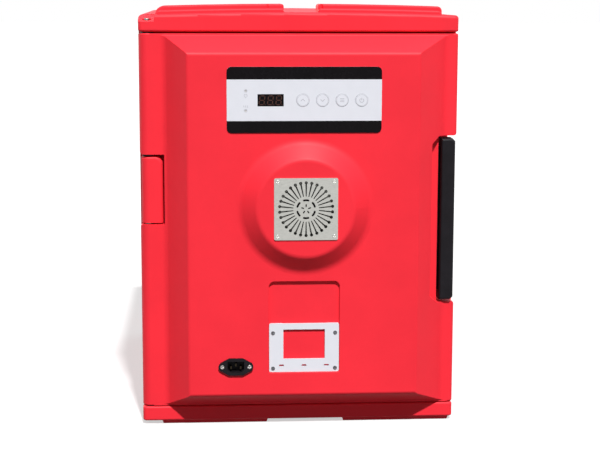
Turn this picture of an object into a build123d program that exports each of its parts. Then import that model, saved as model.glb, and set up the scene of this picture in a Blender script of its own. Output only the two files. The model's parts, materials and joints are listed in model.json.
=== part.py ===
from build123d import *
import math
import os

# Frame: +Z up, the door faces -Y, the hinge is at -X and the latch at +X.
# The origin is the middle of the footprint, on the surface that the feet stand on.
# Depths are counted backwards from the flat front of the door's rim.

# How far a joined or cutting shape runs past a face, and how closely edges are told apart
overrun = 1.0
tolerance = 0.01

# Cabinet outside
cabinet_width = 465.0
foot_height = 5.5
sill_height = 22.0
door_bottom_gap = 1.5
door_height = 551.0
door_top_gap = 2.5
lip_height = 23.7
roof_crown = 4.2
pad_height = 11.8
pad_step_height = 5.5
pad_step_depth = 5.0
pad_length = 62.0
back_pad_height = 6.0
cabinet_depth = 598.0
skin = 4.0
screw_bite = 3.5
low_head_taper = 25.0
high_head_taper = 20.0
side_corner = 14.0
roof_corner = 5.0
base_corner = 3.0
lip_corner = 6.0
lip_edge_round = 3.0

# Roof pads and feet, from the middle plane
pad_left_outer = 209.0
pad_left_inner = 22.0
pad_right_inner = 28.0
pad_right_outer = 209.0
pad_end_margin = 7.0
pad_left_round = 15.0
pad_right_round = 7.0
pad_inner_round = 4.0
pad_step_round = 8.0
pad_edge_round = 2.5
pad_tray_margin = 15.0
pad_tray_depth = 2.0
back_pad_left_inner = 46.0
back_pad_right_inner = 75.0
notch_width = 4.0
notch_left = 46.0
notch_right = 33.0
foot_left_outer = 204.0
foot_left_inner = 46.0
foot_right_inner = 66.0
foot_right_outer = 227.0
foot_end_margin = 4.0
foot_taper = 18.0

# Pan cavity
side_wall = 65.5
rear_wall = 30.0
cavity_bottom_margin = 33.0
cavity_top_margin = 28.0
liner_wall = 3.0
cavity_corner = 12.0
rail_count = 6
rail_pitch = 76.0
first_rail = 75.0
rail_reach = 13.0
rail_thickness = 10.0
rail_front_setback = 48.0

# Door outline
rim_thickness = 25.0
rim_corner = 6.0
rim_edge_round = 2.0
latch_flare = 5.0
knuckle_flare = 4.0
door_back_gap = 0.8
panel_rise = 35.0
panel_left = 163.0
panel_right = 172.0
panel_bottom_margin = 22.5
panel_top_margin = 27.0
bevel_left = 33.0
bevel_right = 43.0
bevel_bottom = 20.0
bevel_top = 24.5
panel_round = 6.0
panel_side_foot_round = 14.0
panel_end_foot_round = 1.5
panel_side_land = 8.0
panel_root = 5.0

# Hinge
pin_radius = 4.0
running_clearance = 0.05
fixed_clearance = 0.02
pin_bore_radius = 4.6
bush_radius = 6.2
bush_length = 20.0
barrel_strip = 24.5
knuckle_bottom = 304.3
knuckle_height = 98.5
knuckle_reach = 21.0
knuckle_barrel = 10.5
knuckle_gap = 2.2
knuckle_side_gap = 3.0
knuckle_round = 5.0
knuckle_shoulder = 12.0
washer_gap = 0.1
washer_radius = 9.0
corner_shelf_width = 23.5
corner_shelf_depth = 36.0
corner_shelf_drop = 10.0
pin_recess_radius = 6.6
pin_recess_depth = 3.5
pin_show = 1.6
pin_round = 1.0
pin_seat_depth = 16.0

# Latch
latch_bottom = 183.0
latch_space_height = 248.5
latch_gap = 3.5
lever_width = 21.0
lever_edge_margin = 3.0
lever_height = 240.5
lever_front = 7.0
lever_bar_depth = 27.0
lever_round = 3.5
lever_corner_chamfer = 4.0
lever_web = 8.0
latch_floor_width = 11.5
latch_floor_slant = 11.0
latch_pin_radius = 3.0
latch_pin_depth = 66.0
latch_barrel = 8.0
latch_ear = 12.0
latch_play = 0.5
latch_plate = 4.0
latch_plate_height = 213.0
latch_plate_depth = 44.0
latch_plate_overhang = 10.0
latch_recess_depth = 60.0
latch_recess_inset = 27.5
latch_wall = 16.0
tooth_reach = 8.0
tooth_thickness = 5.0
tooth_depth = 10.7
tooth_height = 215.0
tooth_play = 0.3
tooth_end_play = 1.3
groove_end_play = 2.0
ledge_thickness = 8.0
latch_screw_radius = 2.5
latch_screw_head = 4.5
latch_screw_head_height = 2.0
latch_screw_front_margin = 7.0
latch_screw_back_margin = 5.0
web_setback = 2.0

# Round boss and grille
boss_x = 6.6
boss_z = 331.2
boss_base_radius = 95.0
boss_top_radius = 71.0
boss_rise = 18.0
boss_round = 10.0
boss_foot_round = 16.0
grille_width = 92.0
grille_height = 89.8
grille_thickness = 1.5
grille_corner = 2.5
grille_screw_margin = 5.3
grille_screw_head = 3.0
grille_screw_head_height = 1.4
grille_screw_radius = 1.8
slot_count = 30
slot_outer_radius = 38.2
slot_inner_radius = 18.4
slot_eye_radius = 2.3
slot_outer_width = 2.3
slot_inner_width = 1.3
arc_slot_count = 6
arc_slot_radius = 13.0
arc_slot_width = 2.8
arc_slot_angle = 28.0
star_slot_count = 5
star_slot_radius = 5.2
star_slot_length = 4.4
star_slot_width = 1.8

# Fan and heater
duct_radius = 42.6
duct_wall = 1.5
motor_radius = 29.0
motor_length = 38.0
motor_setback = 10.0
motor_round = 4.0
bracket_thickness = 2.0
spacer_radius = 3.5
spacer_ring_radius = 34.5
spacer_count = 3
shaft_radius = 3.0
shaft_seat = 19.0
shaft_end_gap = 0.5
plug_rise = 23.0
plug_margin = 8.0
plug_taper = 4.0
plug_corner = 12.0
chamber_radius = 84.0
chamber_depth = 32.0
chamber_wall = 1.0
flange_radius = 96.0
flange_thickness = 1.2
cover_rise = 10.0
cover_thickness = 1.2
cover_round = 3.3
cover_slot_count = 24
cover_slot_outer = 72.0
cover_slot_inner = 46.0
cover_slot_width = 4.0
cover_intake_radius = 34.0
cover_intake_length = 22.0
cover_intake_count = 10
cover_screw_ring_radius = 90.0
cover_screw_count = 6
cover_screw_radius = 2.0
cover_screw_head = 3.6
cover_screw_head_height = 1.8
impeller_radius = 50.0
impeller_hub = 9.0
impeller_plate = 1.2
impeller_height = 16.0
impeller_gap = 3.0
blade_count = 12
blade_inner_radius = 24.0
blade_thickness = 1.4
blade_lean = 32.0
blade_rim_gap = 1.0
shaft_hole_clearance = 2.0
heater_radius = 66.0
heater_tube = 3.5
heater_elbow = 3.8
heater_span = 300.0
heater_clip_count = 3
heater_clip_width = 8.0
heater_clip_length = 12.0
heater_leg_reach = 12.0
probe_radius = 2.5
probe_offset_x = 70.0
probe_offset_z = 120.0
probe_reach = 16.0
probe_nut = 6.0
probe_nut_height = 3.0
cutout_radius = 9.0
cutout_height = 8.0
cutout_offset = 62.0
conduit_radius = 5.0
conduit_depth = -11.5

# Control panel
fascia_x = 5.0
fascia_width = 222.5
fascia_height = 94.5
fascia_middle_z = 486.6
fascia_corner = 7.0
fascia_thickness = 2.2
fascia_seat = 1.0
band_thickness = 0.4
band_top = 18.0
band_bottom = 17.2
housing_width = 202.0
housing_height = 78.0
housing_depth = 26.0
housing_wall = 2.0
housing_play = 0.2
board_setback = 10.0
board_thickness = 1.6
board_margin = 3.0
board_post_radius = 3.5
display_x = -43.5
display_width = 37.5
display_height = 17.5
display_z_shift = -0.4
display_bezel = 1.0
window_sink = 0.2
button_z_shift = -0.4
button_spacing = 28.2
first_button_x = 2.7
button_count = 4
button_radius = 9.0
button_play = 0.35
button_proud = 0.5
button_round = 0.25
button_flange = 1.2
button_flange_radius = 10.6
button_stem_radius = 3.0
button_travel = 0.5
button_seat_gap = 0.05
switch_size = 6.0
switch_height = 4.0
lamp_x = -79.2
lamp_upper_shift = 12.9
lamp_lower_shift = -15.4
lamp_radius = 1.6
lamp_clearance = 0.1
lamp_sink = 0.8

# Card frame
card_middle = 5.7
card_width = 103.3
card_recess_height = 135.8
card_recess_bottom = 86.0
card_recess_depth = 4.6
card_recess_corner = 8.0
card_recess_round = 1.2
card_frame_height = 72.9
card_frame_thickness = 3.0
card_frame_play = 0.35
card_frame_corner = 2.5
card_window_width = 61.0
card_window_height = 44.0
card_window_rise = 19.8
card_screw_inset_x = 5.6
card_screw_inset_low = 5.5
card_screw_inset_high = 14.3
card_screw_head = 2.9
card_screw_head_height = 1.0
card_screw_radius = 1.5
card_slot_length = 7.5
card_slot_width = 2.8
card_slot_spacing = 33.2
card_slot_rise = 9.8
card_lip = 1.0

# Mains inlet
inlet_x = -94.6
inlet_z = 95.7
inlet_flange_length = 50.8
inlet_flange_height = 25.4
inlet_flange_thickness = 3.0
inlet_flange_flat = 20.4
inlet_tip_height = 8.8
inlet_tip_radius = 7.0
inlet_shoulder_radius = 2.5
inlet_screw_spacing = 40.0
inlet_screw_head = 3.1
inlet_screw_head_height = 1.3
inlet_screw_radius = 1.6
inlet_body_width = 27.4
inlet_body_height = 20.2
inlet_body_depth = 22.0
inlet_body_chamfer = 5.0
inlet_socket_width = 24.4
inlet_socket_height = 16.4
inlet_socket_depth = 16.5
inlet_socket_chamfer = 4.5
contact_width = 2.0
contact_height = 4.0
contact_spacing = 14.0
earth_shift = 4.0
contact_setback = 5.0
contact_tail = 7.0
inlet_space = 3.0

# Gasket
gasket_width = 9.0
gasket_groove = 2.0
gasket_inset = 6.0
gasket_corner = 14.0
gasket_air = 0.3

# Side grips
grip_width = 130.0
grip_height = 46.0
grip_depth = 24.0
grip_z = 470.0
grip_back = 330.0
grip_round = 10.0
grip_taper = 4.0

# Foam fill plugs
fill_plug_radius = 15.0
fill_plug_thickness = 3.0
fill_plug_slot_length = 15.0
fill_plug_slot_width = 3.0
fill_plug_slot_depth = 1.0
fill_plug_spacing = 240.0
fill_plug_z = 300.0

# Places worked out from the sizes above
half_width = cabinet_width / 2
hinge_inset = rim_thickness / 2
grille_front = panel_rise + boss_rise + grille_thickness
screw_front = grille_front + grille_screw_head_height
back_depth = rim_thickness + door_back_gap + cabinet_depth
rim_y = (screw_front - back_depth) / 2
sill_top = foot_height + sill_height
door_bottom = sill_top + door_bottom_gap
door_top = door_bottom + door_height
lip_bottom = door_top + door_top_gap
roof = lip_bottom + lip_height
crown_radius = (half_width**2 + roof_crown**2) / (2 * roof_crown)
cabinet_front = rim_thickness + door_back_gap
pin_x = hinge_inset - half_width
cavity_width = cabinet_width - 2 * side_wall
cavity_floor = door_bottom + cavity_bottom_margin
cavity_top = door_top - cavity_top_margin
cavity_back = back_depth - rear_wall
liner_back = cavity_back + liner_wall
panel_bottom = door_bottom + panel_bottom_margin
panel_top = door_top - panel_top_margin
notch_bottom = knuckle_bottom - knuckle_gap
notch_top = knuckle_bottom + knuckle_height + knuckle_gap
notch_wall_x = pin_x + knuckle_reach + knuckle_side_gap
strip_x = barrel_strip - half_width
lever_right = half_width - lever_edge_margin
lever_left = lever_right - lever_width
latch_edge_x = lever_left - latch_gap
latch_floor_x = latch_edge_x - latch_floor_width
latch_top = latch_bottom + latch_space_height
latch_middle = (latch_bottom + latch_top) / 2
latch_pin_x = (lever_left + lever_right) / 2
latch_recess_x = half_width - latch_recess_inset
tooth_x = lever_left - tooth_reach
groove_front = ledge_thickness
groove_back = tooth_depth + tooth_thickness + tooth_play
panel_front = -panel_rise
boss_front = panel_front - boss_rise
plug_back = rim_thickness + plug_rise
chamber_back = plug_back - chamber_depth
flange_back = plug_back + flange_thickness
cover_seat_back = flange_back + cover_thickness
cover_back = flange_back + cover_rise
fascia_seat_depth = panel_front + fascia_seat
fascia_front = fascia_seat_depth - fascia_thickness
board_front = fascia_seat_depth + board_setback
board_back = board_front + board_thickness
housing_back = fascia_seat_depth + housing_depth
card_floor = panel_front + card_recess_depth
card_front = card_floor - card_frame_thickness
control_z = fascia_middle_z + button_z_shift
display_z = fascia_middle_z + display_z_shift
motor_front = boss_front + motor_setback
motor_back = motor_front + motor_length
bracket_back = motor_back + bracket_thickness
inlet_back = panel_front + inlet_body_depth
foam_back = rim_thickness - skin
switch_front = board_front - switch_height

frame_x0 = card_middle - card_width / 2 + card_frame_play
frame_x1 = card_middle + card_width / 2 - card_frame_play
frame_z0 = card_recess_bottom + card_frame_play
frame_z1 = frame_z0 + card_frame_height
card_screw_spots = [
    (card_middle + side * ((frame_x1 - frame_x0) / 2 - card_screw_inset_x), z)
    for side in (-1, 1)
    for z in (frame_z0 + card_screw_inset_low, frame_z1 - card_screw_inset_high)
]
window_z0 = frame_z0 + card_window_rise
inlet_screw_xs = (inlet_x - inlet_screw_spacing / 2, inlet_x + inlet_screw_spacing / 2)
grille_face = boss_front - grille_thickness
grille_screw_spots = [
    (
        boss_x + side_x * (grille_width / 2 - grille_screw_margin),
        boss_z + side_z * (grille_height / 2 - grille_screw_margin),
    )
    for side_x in (-1, 1)
    for side_z in (-1, 1)
]

def front_plane(depth):
    """Upright plane facing -Y, this far behind the front of the door's rim."""
    return Plane.XZ.offset(-(rim_y + depth))


def at_depth(depth):
    """The Y of a point this far behind the front of the door's rim."""
    return rim_y + depth


def span_box(x0, x1, depth0, depth1, z0, z1, mode=Mode.ADD):
    """A box between two X, two depths and two heights."""
    with Locations(((x0 + x1) / 2, at_depth((depth0 + depth1) / 2), (z0 + z1) / 2)):
        Box(abs(x1 - x0), abs(depth1 - depth0), abs(z1 - z0), mode=mode)


def depth_rod(x, z, radius, depth0, depth1, mode=Mode.ADD):
    """A round rod along Y between two depths."""
    with BuildSketch(front_plane(depth1)) as outline:
        with Locations((x, z)):
            Circle(radius)
    extrude(outline.sketch, amount=depth1 - depth0, mode=mode)


def post(x, depth, radius, z0, z1, mode=Mode.ADD):
    """A round post along Z between two heights."""
    with BuildSketch(Plane.XY.offset(z0)) as outline:
        with Locations((x, at_depth(depth))):
            Circle(radius)
    extrude(outline.sketch, amount=z1 - z0, mode=mode)


def front_plate(x0, x1, z0, z1, depth0, depth1, corner=0.0, mode=Mode.ADD):
    """A plate facing the front, with rounded corners."""
    with BuildSketch(front_plane(depth1)) as outline:
        with Locations(((x0 + x1) / 2, (z0 + z1) / 2)):
            if corner > 0:
                RectangleRounded(x1 - x0, z1 - z0, corner)
            else:
                Rectangle(x1 - x0, z1 - z0)
    extrude(outline.sketch, amount=depth1 - depth0, mode=mode)


def flared_corner(side_x, z, side_z, radius):
    """Rounds the rim's outside corner beside a cut-out in the door's edge."""
    x = side_x * half_width
    with BuildSketch(front_plane(rim_thickness + overrun)) as outline:
        with Locations((x + side_x * (overrun - radius) / 2, z + side_z * (radius - overrun) / 2)):
            Rectangle(radius + overrun, radius + overrun)
        with Locations((x - side_x * radius, z + side_z * radius)):
            Circle(radius, mode=Mode.SUBTRACT)
    extrude(outline.sketch, amount=rim_thickness + 2 * overrun, mode=Mode.SUBTRACT)


def rivet_head(x, z, radius, depth, height):
    """A low domed screw head whose flat side lies at this depth."""
    with BuildSketch(front_plane(depth)) as outline:
        with Locations((x, z)):
            Circle(radius)
    extrude(outline.sketch, amount=height, taper=low_head_taper)


def cabinet_profile(inset, top):
    """Side profile of the cabinet: body, lip over the door and sill under it."""
    front = at_depth(inset)
    face = at_depth(cabinet_front + inset)
    back = at_depth(back_depth - inset)
    with BuildSketch(Plane.YZ) as outline:
        with BuildLine():
            Polyline(
                (front, lip_bottom + inset),
                (face, lip_bottom + inset),
                (face, sill_top - inset),
                (front, sill_top - inset),
                (front, foot_height + inset),
                (back, foot_height + inset),
                (back, top),
                (front, top),
                close=True,
            )
        make_face()
    extrude(outline.sketch, amount=half_width - inset, both=True)


def crowned_block(x0, x1, depth0, depth1, rise, rounds=(0.0, 0.0), mode=Mode.ADD):
    """A block whose top runs at this rise over the crowned roof, with its ends rounded."""
    with BuildSketch(front_plane(depth1)) as outline:
        with Locations(((x0 + x1) / 2, roof / 2)):
            Rectangle(x1 - x0, roof, align=(Align.CENTER, Align.MIN))
        with Locations((0, roof + roof_crown - crown_radius)):
            Circle(crown_radius + rise, mode=Mode.INTERSECT)
        for end, radius in zip((0, -1), rounds):
            if radius > 0:
                fillet(outline.vertices().group_by(Axis.X)[end].sort_by(Axis.Y)[-1], radius)
        with Locations((0, roof - skin)):
            Rectangle(cabinet_width, roof, align=(Align.CENTER, Align.MIN), mode=Mode.INTERSECT)
    extrude(outline.sketch, amount=depth1 - depth0, mode=mode)


def roof_edges(block, rise, depths):
    """The edges of a block's top that run along the crown at this rise and these depths."""
    return (
        block.edges()
        .filter_by(GeomType.CIRCLE)
        .filter_by(lambda e: abs(e.radius - crown_radius - rise) < tolerance)
        .filter_by(lambda e: min(abs(e.center().Y - at_depth(d)) for d in depths) < tolerance)
    )


# Stacking pads on the roof: a front pair in two steps, with trays and notches, and a back pair
pad_front = pad_end_margin
pad_back = pad_end_margin + pad_length
with BuildPart() as roof_pads:
    for x0, x1, rounds in (
        (-pad_left_outer, -pad_left_inner, (pad_left_round, pad_inner_round)),
        (pad_right_inner, pad_right_outer, (pad_inner_round, pad_right_round)),
    ):
        with BuildPart() as lower_step:
            step_rounds = [min(r, pad_step_round) for r in rounds]
            crowned_block(x0, x1, pad_front, pad_back, pad_step_height, step_rounds)
            fillet(roof_edges(lower_step, pad_step_height, (pad_front, pad_back)), pad_edge_round)
        with BuildPart() as upper_step:
            front = pad_front + pad_step_depth
            back = pad_back - pad_step_depth
            crowned_block(x0, x1, front, back, pad_height, rounds)
            fillet(roof_edges(upper_step, pad_height, (front, back)), pad_edge_round)
    for x0, x1 in (
        (-pad_left_outer, -pad_left_inner),
        (pad_right_inner, pad_right_outer),
    ):
        with BuildPart(mode=Mode.SUBTRACT):
            crowned_block(
                x0 + pad_tray_margin,
                x1 - pad_tray_margin,
                pad_front + pad_tray_margin,
                pad_back - pad_tray_margin,
                pad_height + overrun,
            )
            crowned_block(
                x0,
                x1,
                pad_front,
                pad_back,
                pad_height - pad_tray_depth,
                mode=Mode.SUBTRACT,
            )
    for notch_x in (-notch_left, notch_right):
        span_box(
            notch_x - notch_width / 2,
            notch_x + notch_width / 2,
            0,
            pad_front + pad_tray_margin + overrun,
            roof + roof_crown + pad_step_height,
            roof + roof_crown + pad_height + overrun,
            mode=Mode.SUBTRACT,
        )
    for x0, x1 in (
        (-pad_left_outer, -back_pad_left_inner),
        (back_pad_right_inner, pad_right_outer),
    ):
        with BuildPart() as back_block:
            front = back_depth - pad_back
            back = back_depth - pad_front
            rounds = (pad_inner_round, pad_inner_round)
            crowned_block(x0, x1, front, back, back_pad_height, rounds)
            fillet(roof_edges(back_block, back_pad_height, (front, back)), pad_edge_round)

# Cabinet foam: everything between the outer skin and the liner.
with BuildPart() as cabinet_foam:
    cabinet_profile(skin, roof - skin)
    span_box(-half_width, strip_x, 0, cabinet_front, foot_height, roof, mode=Mode.SUBTRACT)
    span_box(
        -half_width,
        -half_width + corner_shelf_width + skin,
        0,
        corner_shelf_depth + skin,
        lip_bottom,
        roof,
        mode=Mode.SUBTRACT,
    )
    span_box(
        latch_recess_x - skin,
        half_width,
        0,
        cabinet_front + latch_recess_depth + skin,
        latch_bottom - skin,
        latch_top + skin,
        mode=Mode.SUBTRACT,
    )
    for side in (-1, 1):
        span_box(
            side * (half_width - grip_depth - skin),
            side * half_width,
            grip_back - grip_width / 2 - skin,
            grip_back + grip_width / 2 + skin,
            grip_z - grip_height / 2 - skin,
            grip_z + grip_height / 2 + skin,
            mode=Mode.SUBTRACT,
        )
    front_plate(
        -cavity_width / 2 - liner_wall,
        cavity_width / 2 + liner_wall,
        cavity_floor - liner_wall,
        cavity_top + liner_wall,
        0,
        liner_back,
        corner=cavity_corner + liner_wall,
        mode=Mode.SUBTRACT,
    )
cabinet_foam.part.label = "cabinet_foam"

# Cabinet skin: one moulding with lip, sill, feet, pads, hinge knuckle and grip pockets.
with BuildPart() as cabinet_shell:
    cabinet_profile(0, roof + roof_crown + overrun)
    with BuildPart(mode=Mode.INTERSECT):
        with BuildSketch(front_plane(back_depth)) as under_roof:
            with Locations((0, roof + roof_crown - crown_radius)):
                Circle(crown_radius)
        extrude(under_roof.sketch, amount=back_depth)
    upright = cabinet_shell.edges().filter_by(Axis.Z)
    fillet(upright.sort_by(Axis.Y)[-2:], side_corner)
    fillet(
        upright.filter_by(lambda e: abs(e.center().Y - at_depth(0)) < tolerance),
        lip_corner,
    )
    fillet(cabinet_shell.faces().sort_by(Axis.Z)[-1].edges(), roof_corner)
    fillet(cabinet_shell.edges().group_by(Axis.Z)[0], base_corner)
    for edge_z in (lip_bottom, sill_top):
        lip_edge = (
            cabinet_shell.edges()
            .filter_by(Axis.X)
            .filter_by(lambda e: abs(e.center().Z - edge_z) < tolerance)
            .sort_by(Axis.Y)[0]
        )
        fillet(lip_edge, lip_edge_round)
    add(roof_pads.part)
    for x0, x1 in (
        (-foot_left_outer, -foot_left_inner),
        (foot_right_inner, foot_right_outer),
    ):
        with BuildSketch(Plane.XY.offset(foot_height)):
            with Locations(((x0 + x1) / 2, at_depth(back_depth / 2))):
                Rectangle(x1 - x0, back_depth - 2 * foot_end_margin)
        extrude(amount=-foot_height, taper=foot_taper)
    # Hinge knuckle, flush with the door's rim
    with BuildSketch(Plane.XY.offset(knuckle_bottom)):
        with Locations((pin_x, at_depth(hinge_inset))):
            Circle(knuckle_barrel)
        with BuildLine():
            Polyline(
                (pin_x, at_depth(hinge_inset - knuckle_barrel)),
                (pin_x + knuckle_reach, at_depth(hinge_inset - knuckle_barrel)),
                (pin_x + knuckle_reach, at_depth(cabinet_front + overrun)),
                (pin_x - knuckle_barrel, at_depth(cabinet_front + overrun)),
                (pin_x - knuckle_barrel, at_depth(hinge_inset)),
                (pin_x, at_depth(hinge_inset)),
                close=True,
            )
        make_face()
    extrude(amount=knuckle_height)
    shoulder = (
        cabinet_shell.edges()
        .filter_by(Axis.Y)
        .filter_by(lambda e: abs(e.center().X - pin_x - knuckle_reach) < tolerance)
        .sort_by(Axis.Z)[-1]
    )
    fillet(shoulder, knuckle_shoulder)
    knuckle_edge = (
        cabinet_shell.edges()
        .filter_by(Axis.Z)
        .filter_by(lambda e: abs(e.center().X - pin_x - knuckle_reach) < tolerance)
        .sort_by(Axis.Y)[0]
    )
    fillet(knuckle_edge, knuckle_round)
    add(cabinet_foam.part, mode=Mode.SUBTRACT)
    front_plate(
        -cavity_width / 2 - liner_wall,
        cavity_width / 2 + liner_wall,
        cavity_floor - liner_wall,
        cavity_top + liner_wall,
        0,
        liner_back,
        corner=cavity_corner + liner_wall,
        mode=Mode.SUBTRACT,
    )
    span_box(
        latch_recess_x,
        half_width + overrun,
        cabinet_front - overrun,
        cabinet_front + latch_recess_depth,
        latch_bottom,
        latch_top,
        mode=Mode.SUBTRACT,
    )
    for side in (-1, 1):
        with BuildSketch(Plane.YZ.offset(side * half_width)):
            with Locations((at_depth(grip_back), grip_z)):
                RectangleRounded(grip_width, grip_height, grip_round)
        extrude(amount=-side * grip_depth, taper=grip_taper, mode=Mode.SUBTRACT)
    # Sloping corner shelf around the head of the hinge pin
    with BuildSketch(Plane.YZ.offset(-half_width - overrun)):
        with BuildLine():
            Polyline(
                (at_depth(-overrun), roof - corner_shelf_drop),
                (at_depth(corner_shelf_depth), roof),
                (at_depth(corner_shelf_depth), roof + roof_crown),
                (at_depth(-overrun), roof + roof_crown),
                close=True,
            )
        make_face()
    extrude(amount=corner_shelf_width + overrun, mode=Mode.SUBTRACT)
    post(
        pin_x,
        hinge_inset,
        pin_radius + fixed_clearance,
        sill_top - pin_seat_depth,
        roof,
        mode=Mode.SUBTRACT,
    )
    pin_shelf = roof - corner_shelf_drop * (1 - hinge_inset / corner_shelf_depth)
    post(pin_x, hinge_inset, pin_recess_radius, pin_shelf - pin_recess_depth, roof, mode=Mode.SUBTRACT)
    for plug_x in (-fill_plug_spacing / 2, fill_plug_spacing / 2):
        depth_rod(plug_x, fill_plug_z, fill_plug_radius, back_depth - skin, back_depth, mode=Mode.SUBTRACT)
cabinet_shell.part.label = "cabinet_shell"

with BuildPart() as foam_fill_plugs:
    for plug_x in (-fill_plug_spacing / 2, fill_plug_spacing / 2):
        depth_rod(
            plug_x,
            fill_plug_z,
            fill_plug_radius - fixed_clearance,
            back_depth - skin,
            back_depth - skin + fill_plug_thickness,
        )
        with BuildSketch(Plane.XZ.offset(-at_depth(back_depth - skin + fill_plug_thickness))):
            with Locations((plug_x, fill_plug_z)):
                Rectangle(fill_plug_slot_length, fill_plug_slot_width)
        extrude(amount=fill_plug_slot_depth, mode=Mode.SUBTRACT)
foam_fill_plugs.part.label = "foam_fill_plugs"

# Liner: the smooth inner box with pan rails along both sides
with BuildPart() as cabinet_liner:
    front_plate(
        -cavity_width / 2 - liner_wall,
        cavity_width / 2 + liner_wall,
        cavity_floor - liner_wall,
        cavity_top + liner_wall,
        cabinet_front,
        liner_back,
        corner=cavity_corner + liner_wall,
    )
    front_plate(
        -cavity_width / 2,
        cavity_width / 2,
        cavity_floor,
        cavity_top,
        cabinet_front,
        cavity_back,
        corner=cavity_corner,
        mode=Mode.SUBTRACT,
    )
    for rail in range(rail_count):
        rail_z = cavity_floor + first_rail + rail * rail_pitch
        for side in (-1, 1):
            span_box(
                side * (cavity_width / 2 - rail_reach),
                side * (cavity_width / 2 + liner_wall / 2),
                cabinet_front + rail_front_setback,
                cavity_back + liner_wall / 2,
                rail_z - rail_thickness,
                rail_z,
            )
cabinet_liner.part.label = "cabinet_liner"

# Hinge pin, from a blind seat in the sill to its head in the corner shelf
with BuildPart() as hinge_pin:
    post(pin_x, hinge_inset, pin_radius, sill_top - pin_seat_depth, pin_shelf + pin_show)
    fillet(hinge_pin.edges().filter_by(GeomType.CIRCLE).sort_by(Axis.Z)[-1], pin_round)
hinge_pin.part.label = "hinge_pin"

bush_bottoms = (
    door_bottom,
    notch_bottom - bush_length,
    notch_top,
    door_top - bush_length,
)
with BuildPart() as hinge_bushes:
    for z in bush_bottoms:
        post(pin_x, hinge_inset, bush_radius, z, z + bush_length)
        post(pin_x, hinge_inset, pin_radius + running_clearance, z, z + bush_length, mode=Mode.SUBTRACT)
hinge_bushes.part.label = "hinge_bushes"

# Thin washers that carry the door on the knuckle and the sill, and part it from the lip
washer_seats = (
    (sill_top, door_bottom),
    (knuckle_bottom + knuckle_height, notch_top),
    (door_top, lip_bottom),
)
with BuildPart() as hinge_washers:
    for z0, z1 in washer_seats:
        post(pin_x, hinge_inset, washer_radius, z0, z1 - washer_gap)
        post(pin_x, hinge_inset, pin_radius + running_clearance, z0, z1, mode=Mode.SUBTRACT)
hinge_washers.part.label = "hinge_washers"

# Latch base, screwed into the recess in the cabinet's side
plate_back = latch_pin_depth + latch_barrel + latch_plate_overhang
plate_front = plate_back - latch_plate_depth
plate_bottom = latch_middle - latch_plate_height / 2
plate_top = latch_middle + latch_plate_height / 2
plate_outer = latch_recess_x + latch_plate
ear_bottoms = (plate_bottom, latch_middle - latch_ear / 2, plate_top - latch_ear)
latch_screw_spots = [
    (latch_middle + side * latch_plate_height / 4, depth)
    for side in (-1, 1)
    for depth in (plate_front + latch_screw_front_margin, plate_back - latch_screw_back_margin)
]
with BuildPart() as latch_base:
    span_box(latch_recess_x, plate_outer, plate_front, plate_back, plate_bottom, plate_top)
    for z in ear_bottoms:
        post(latch_pin_x, latch_pin_depth, latch_barrel, z, z + latch_ear)
        span_box(
            latch_recess_x + latch_plate / 2,
            latch_pin_x,
            latch_pin_depth - latch_barrel,
            latch_pin_depth + latch_barrel,
            z,
            z + latch_ear,
        )
    post(
        latch_pin_x,
        latch_pin_depth,
        latch_pin_radius + fixed_clearance,
        plate_bottom,
        plate_top,
        mode=Mode.SUBTRACT,
    )
    for z, depth in latch_screw_spots:
        with BuildSketch(Plane.YZ.offset(latch_recess_x)):
            with Locations((at_depth(depth), z)):
                Circle(latch_screw_radius + fixed_clearance)
        extrude(amount=latch_plate, mode=Mode.SUBTRACT)
latch_base.part.label = "latch_base"

with BuildPart() as latch_base_screws:
    for z, depth in latch_screw_spots:
        with BuildSketch(Plane.YZ.offset(latch_recess_x)):
            with Locations((at_depth(depth), z)):
                Circle(latch_screw_radius)
        extrude(amount=latch_plate)
        with BuildSketch(Plane.YZ.offset(plate_outer)):
            with Locations((at_depth(depth), z)):
                Circle(latch_screw_head)
        extrude(amount=latch_screw_head_height, taper=high_head_taper)
latch_base_screws.part.label = "latch_base_screws"

with BuildPart() as latch_pin:
    post(latch_pin_x, latch_pin_depth, latch_pin_radius, plate_bottom, plate_top)
latch_pin.part.label = "latch_pin"

# Latch lever: grip bar, web, pivot barrels between the ears, and a tooth for the door's groove
lever_bottom = latch_middle - lever_height / 2
lever_top = latch_middle + lever_height / 2
bar_back = lever_bar_depth - lever_front
web_back = latch_pin_depth - latch_barrel - web_setback
with BuildPart() as latch_lever:
    span_box(lever_left, lever_right, -lever_front, bar_back, lever_bottom, lever_top)
    chamfer(
        latch_lever.edges().filter_by(Axis.Y).sort_by(Axis.X)[-2:],
        lever_corner_chamfer,
    )
    bar_front = latch_lever.faces().sort_by(Axis.Y)[0]
    fillet(bar_front.edges(), lever_round)
    span_box(
        latch_pin_x - lever_web / 2,
        latch_pin_x + lever_web / 2,
        bar_back - overrun,
        web_back,
        plate_bottom,
        plate_top,
    )
    for z0, z1 in (
        (ear_bottoms[0] + latch_ear + latch_play, ear_bottoms[1] - latch_play),
        (ear_bottoms[1] + latch_ear + latch_play, ear_bottoms[2] - latch_play),
    ):
        post(latch_pin_x, latch_pin_depth, latch_barrel, z0, z1)
        span_box(
            latch_pin_x - lever_web / 2,
            latch_pin_x + lever_web / 2,
            web_back - overrun,
            latch_pin_depth,
            z0,
            z1,
        )
    span_box(
        tooth_x,
        lever_left + overrun,
        tooth_depth,
        tooth_depth + tooth_thickness,
        latch_middle - tooth_height / 2,
        latch_middle + tooth_height / 2,
    )
    post(
        latch_pin_x,
        latch_pin_depth,
        latch_pin_radius + running_clearance,
        plate_bottom,
        plate_top,
        mode=Mode.SUBTRACT,
    )
latch_lever.part.label = "latch_lever"


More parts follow.
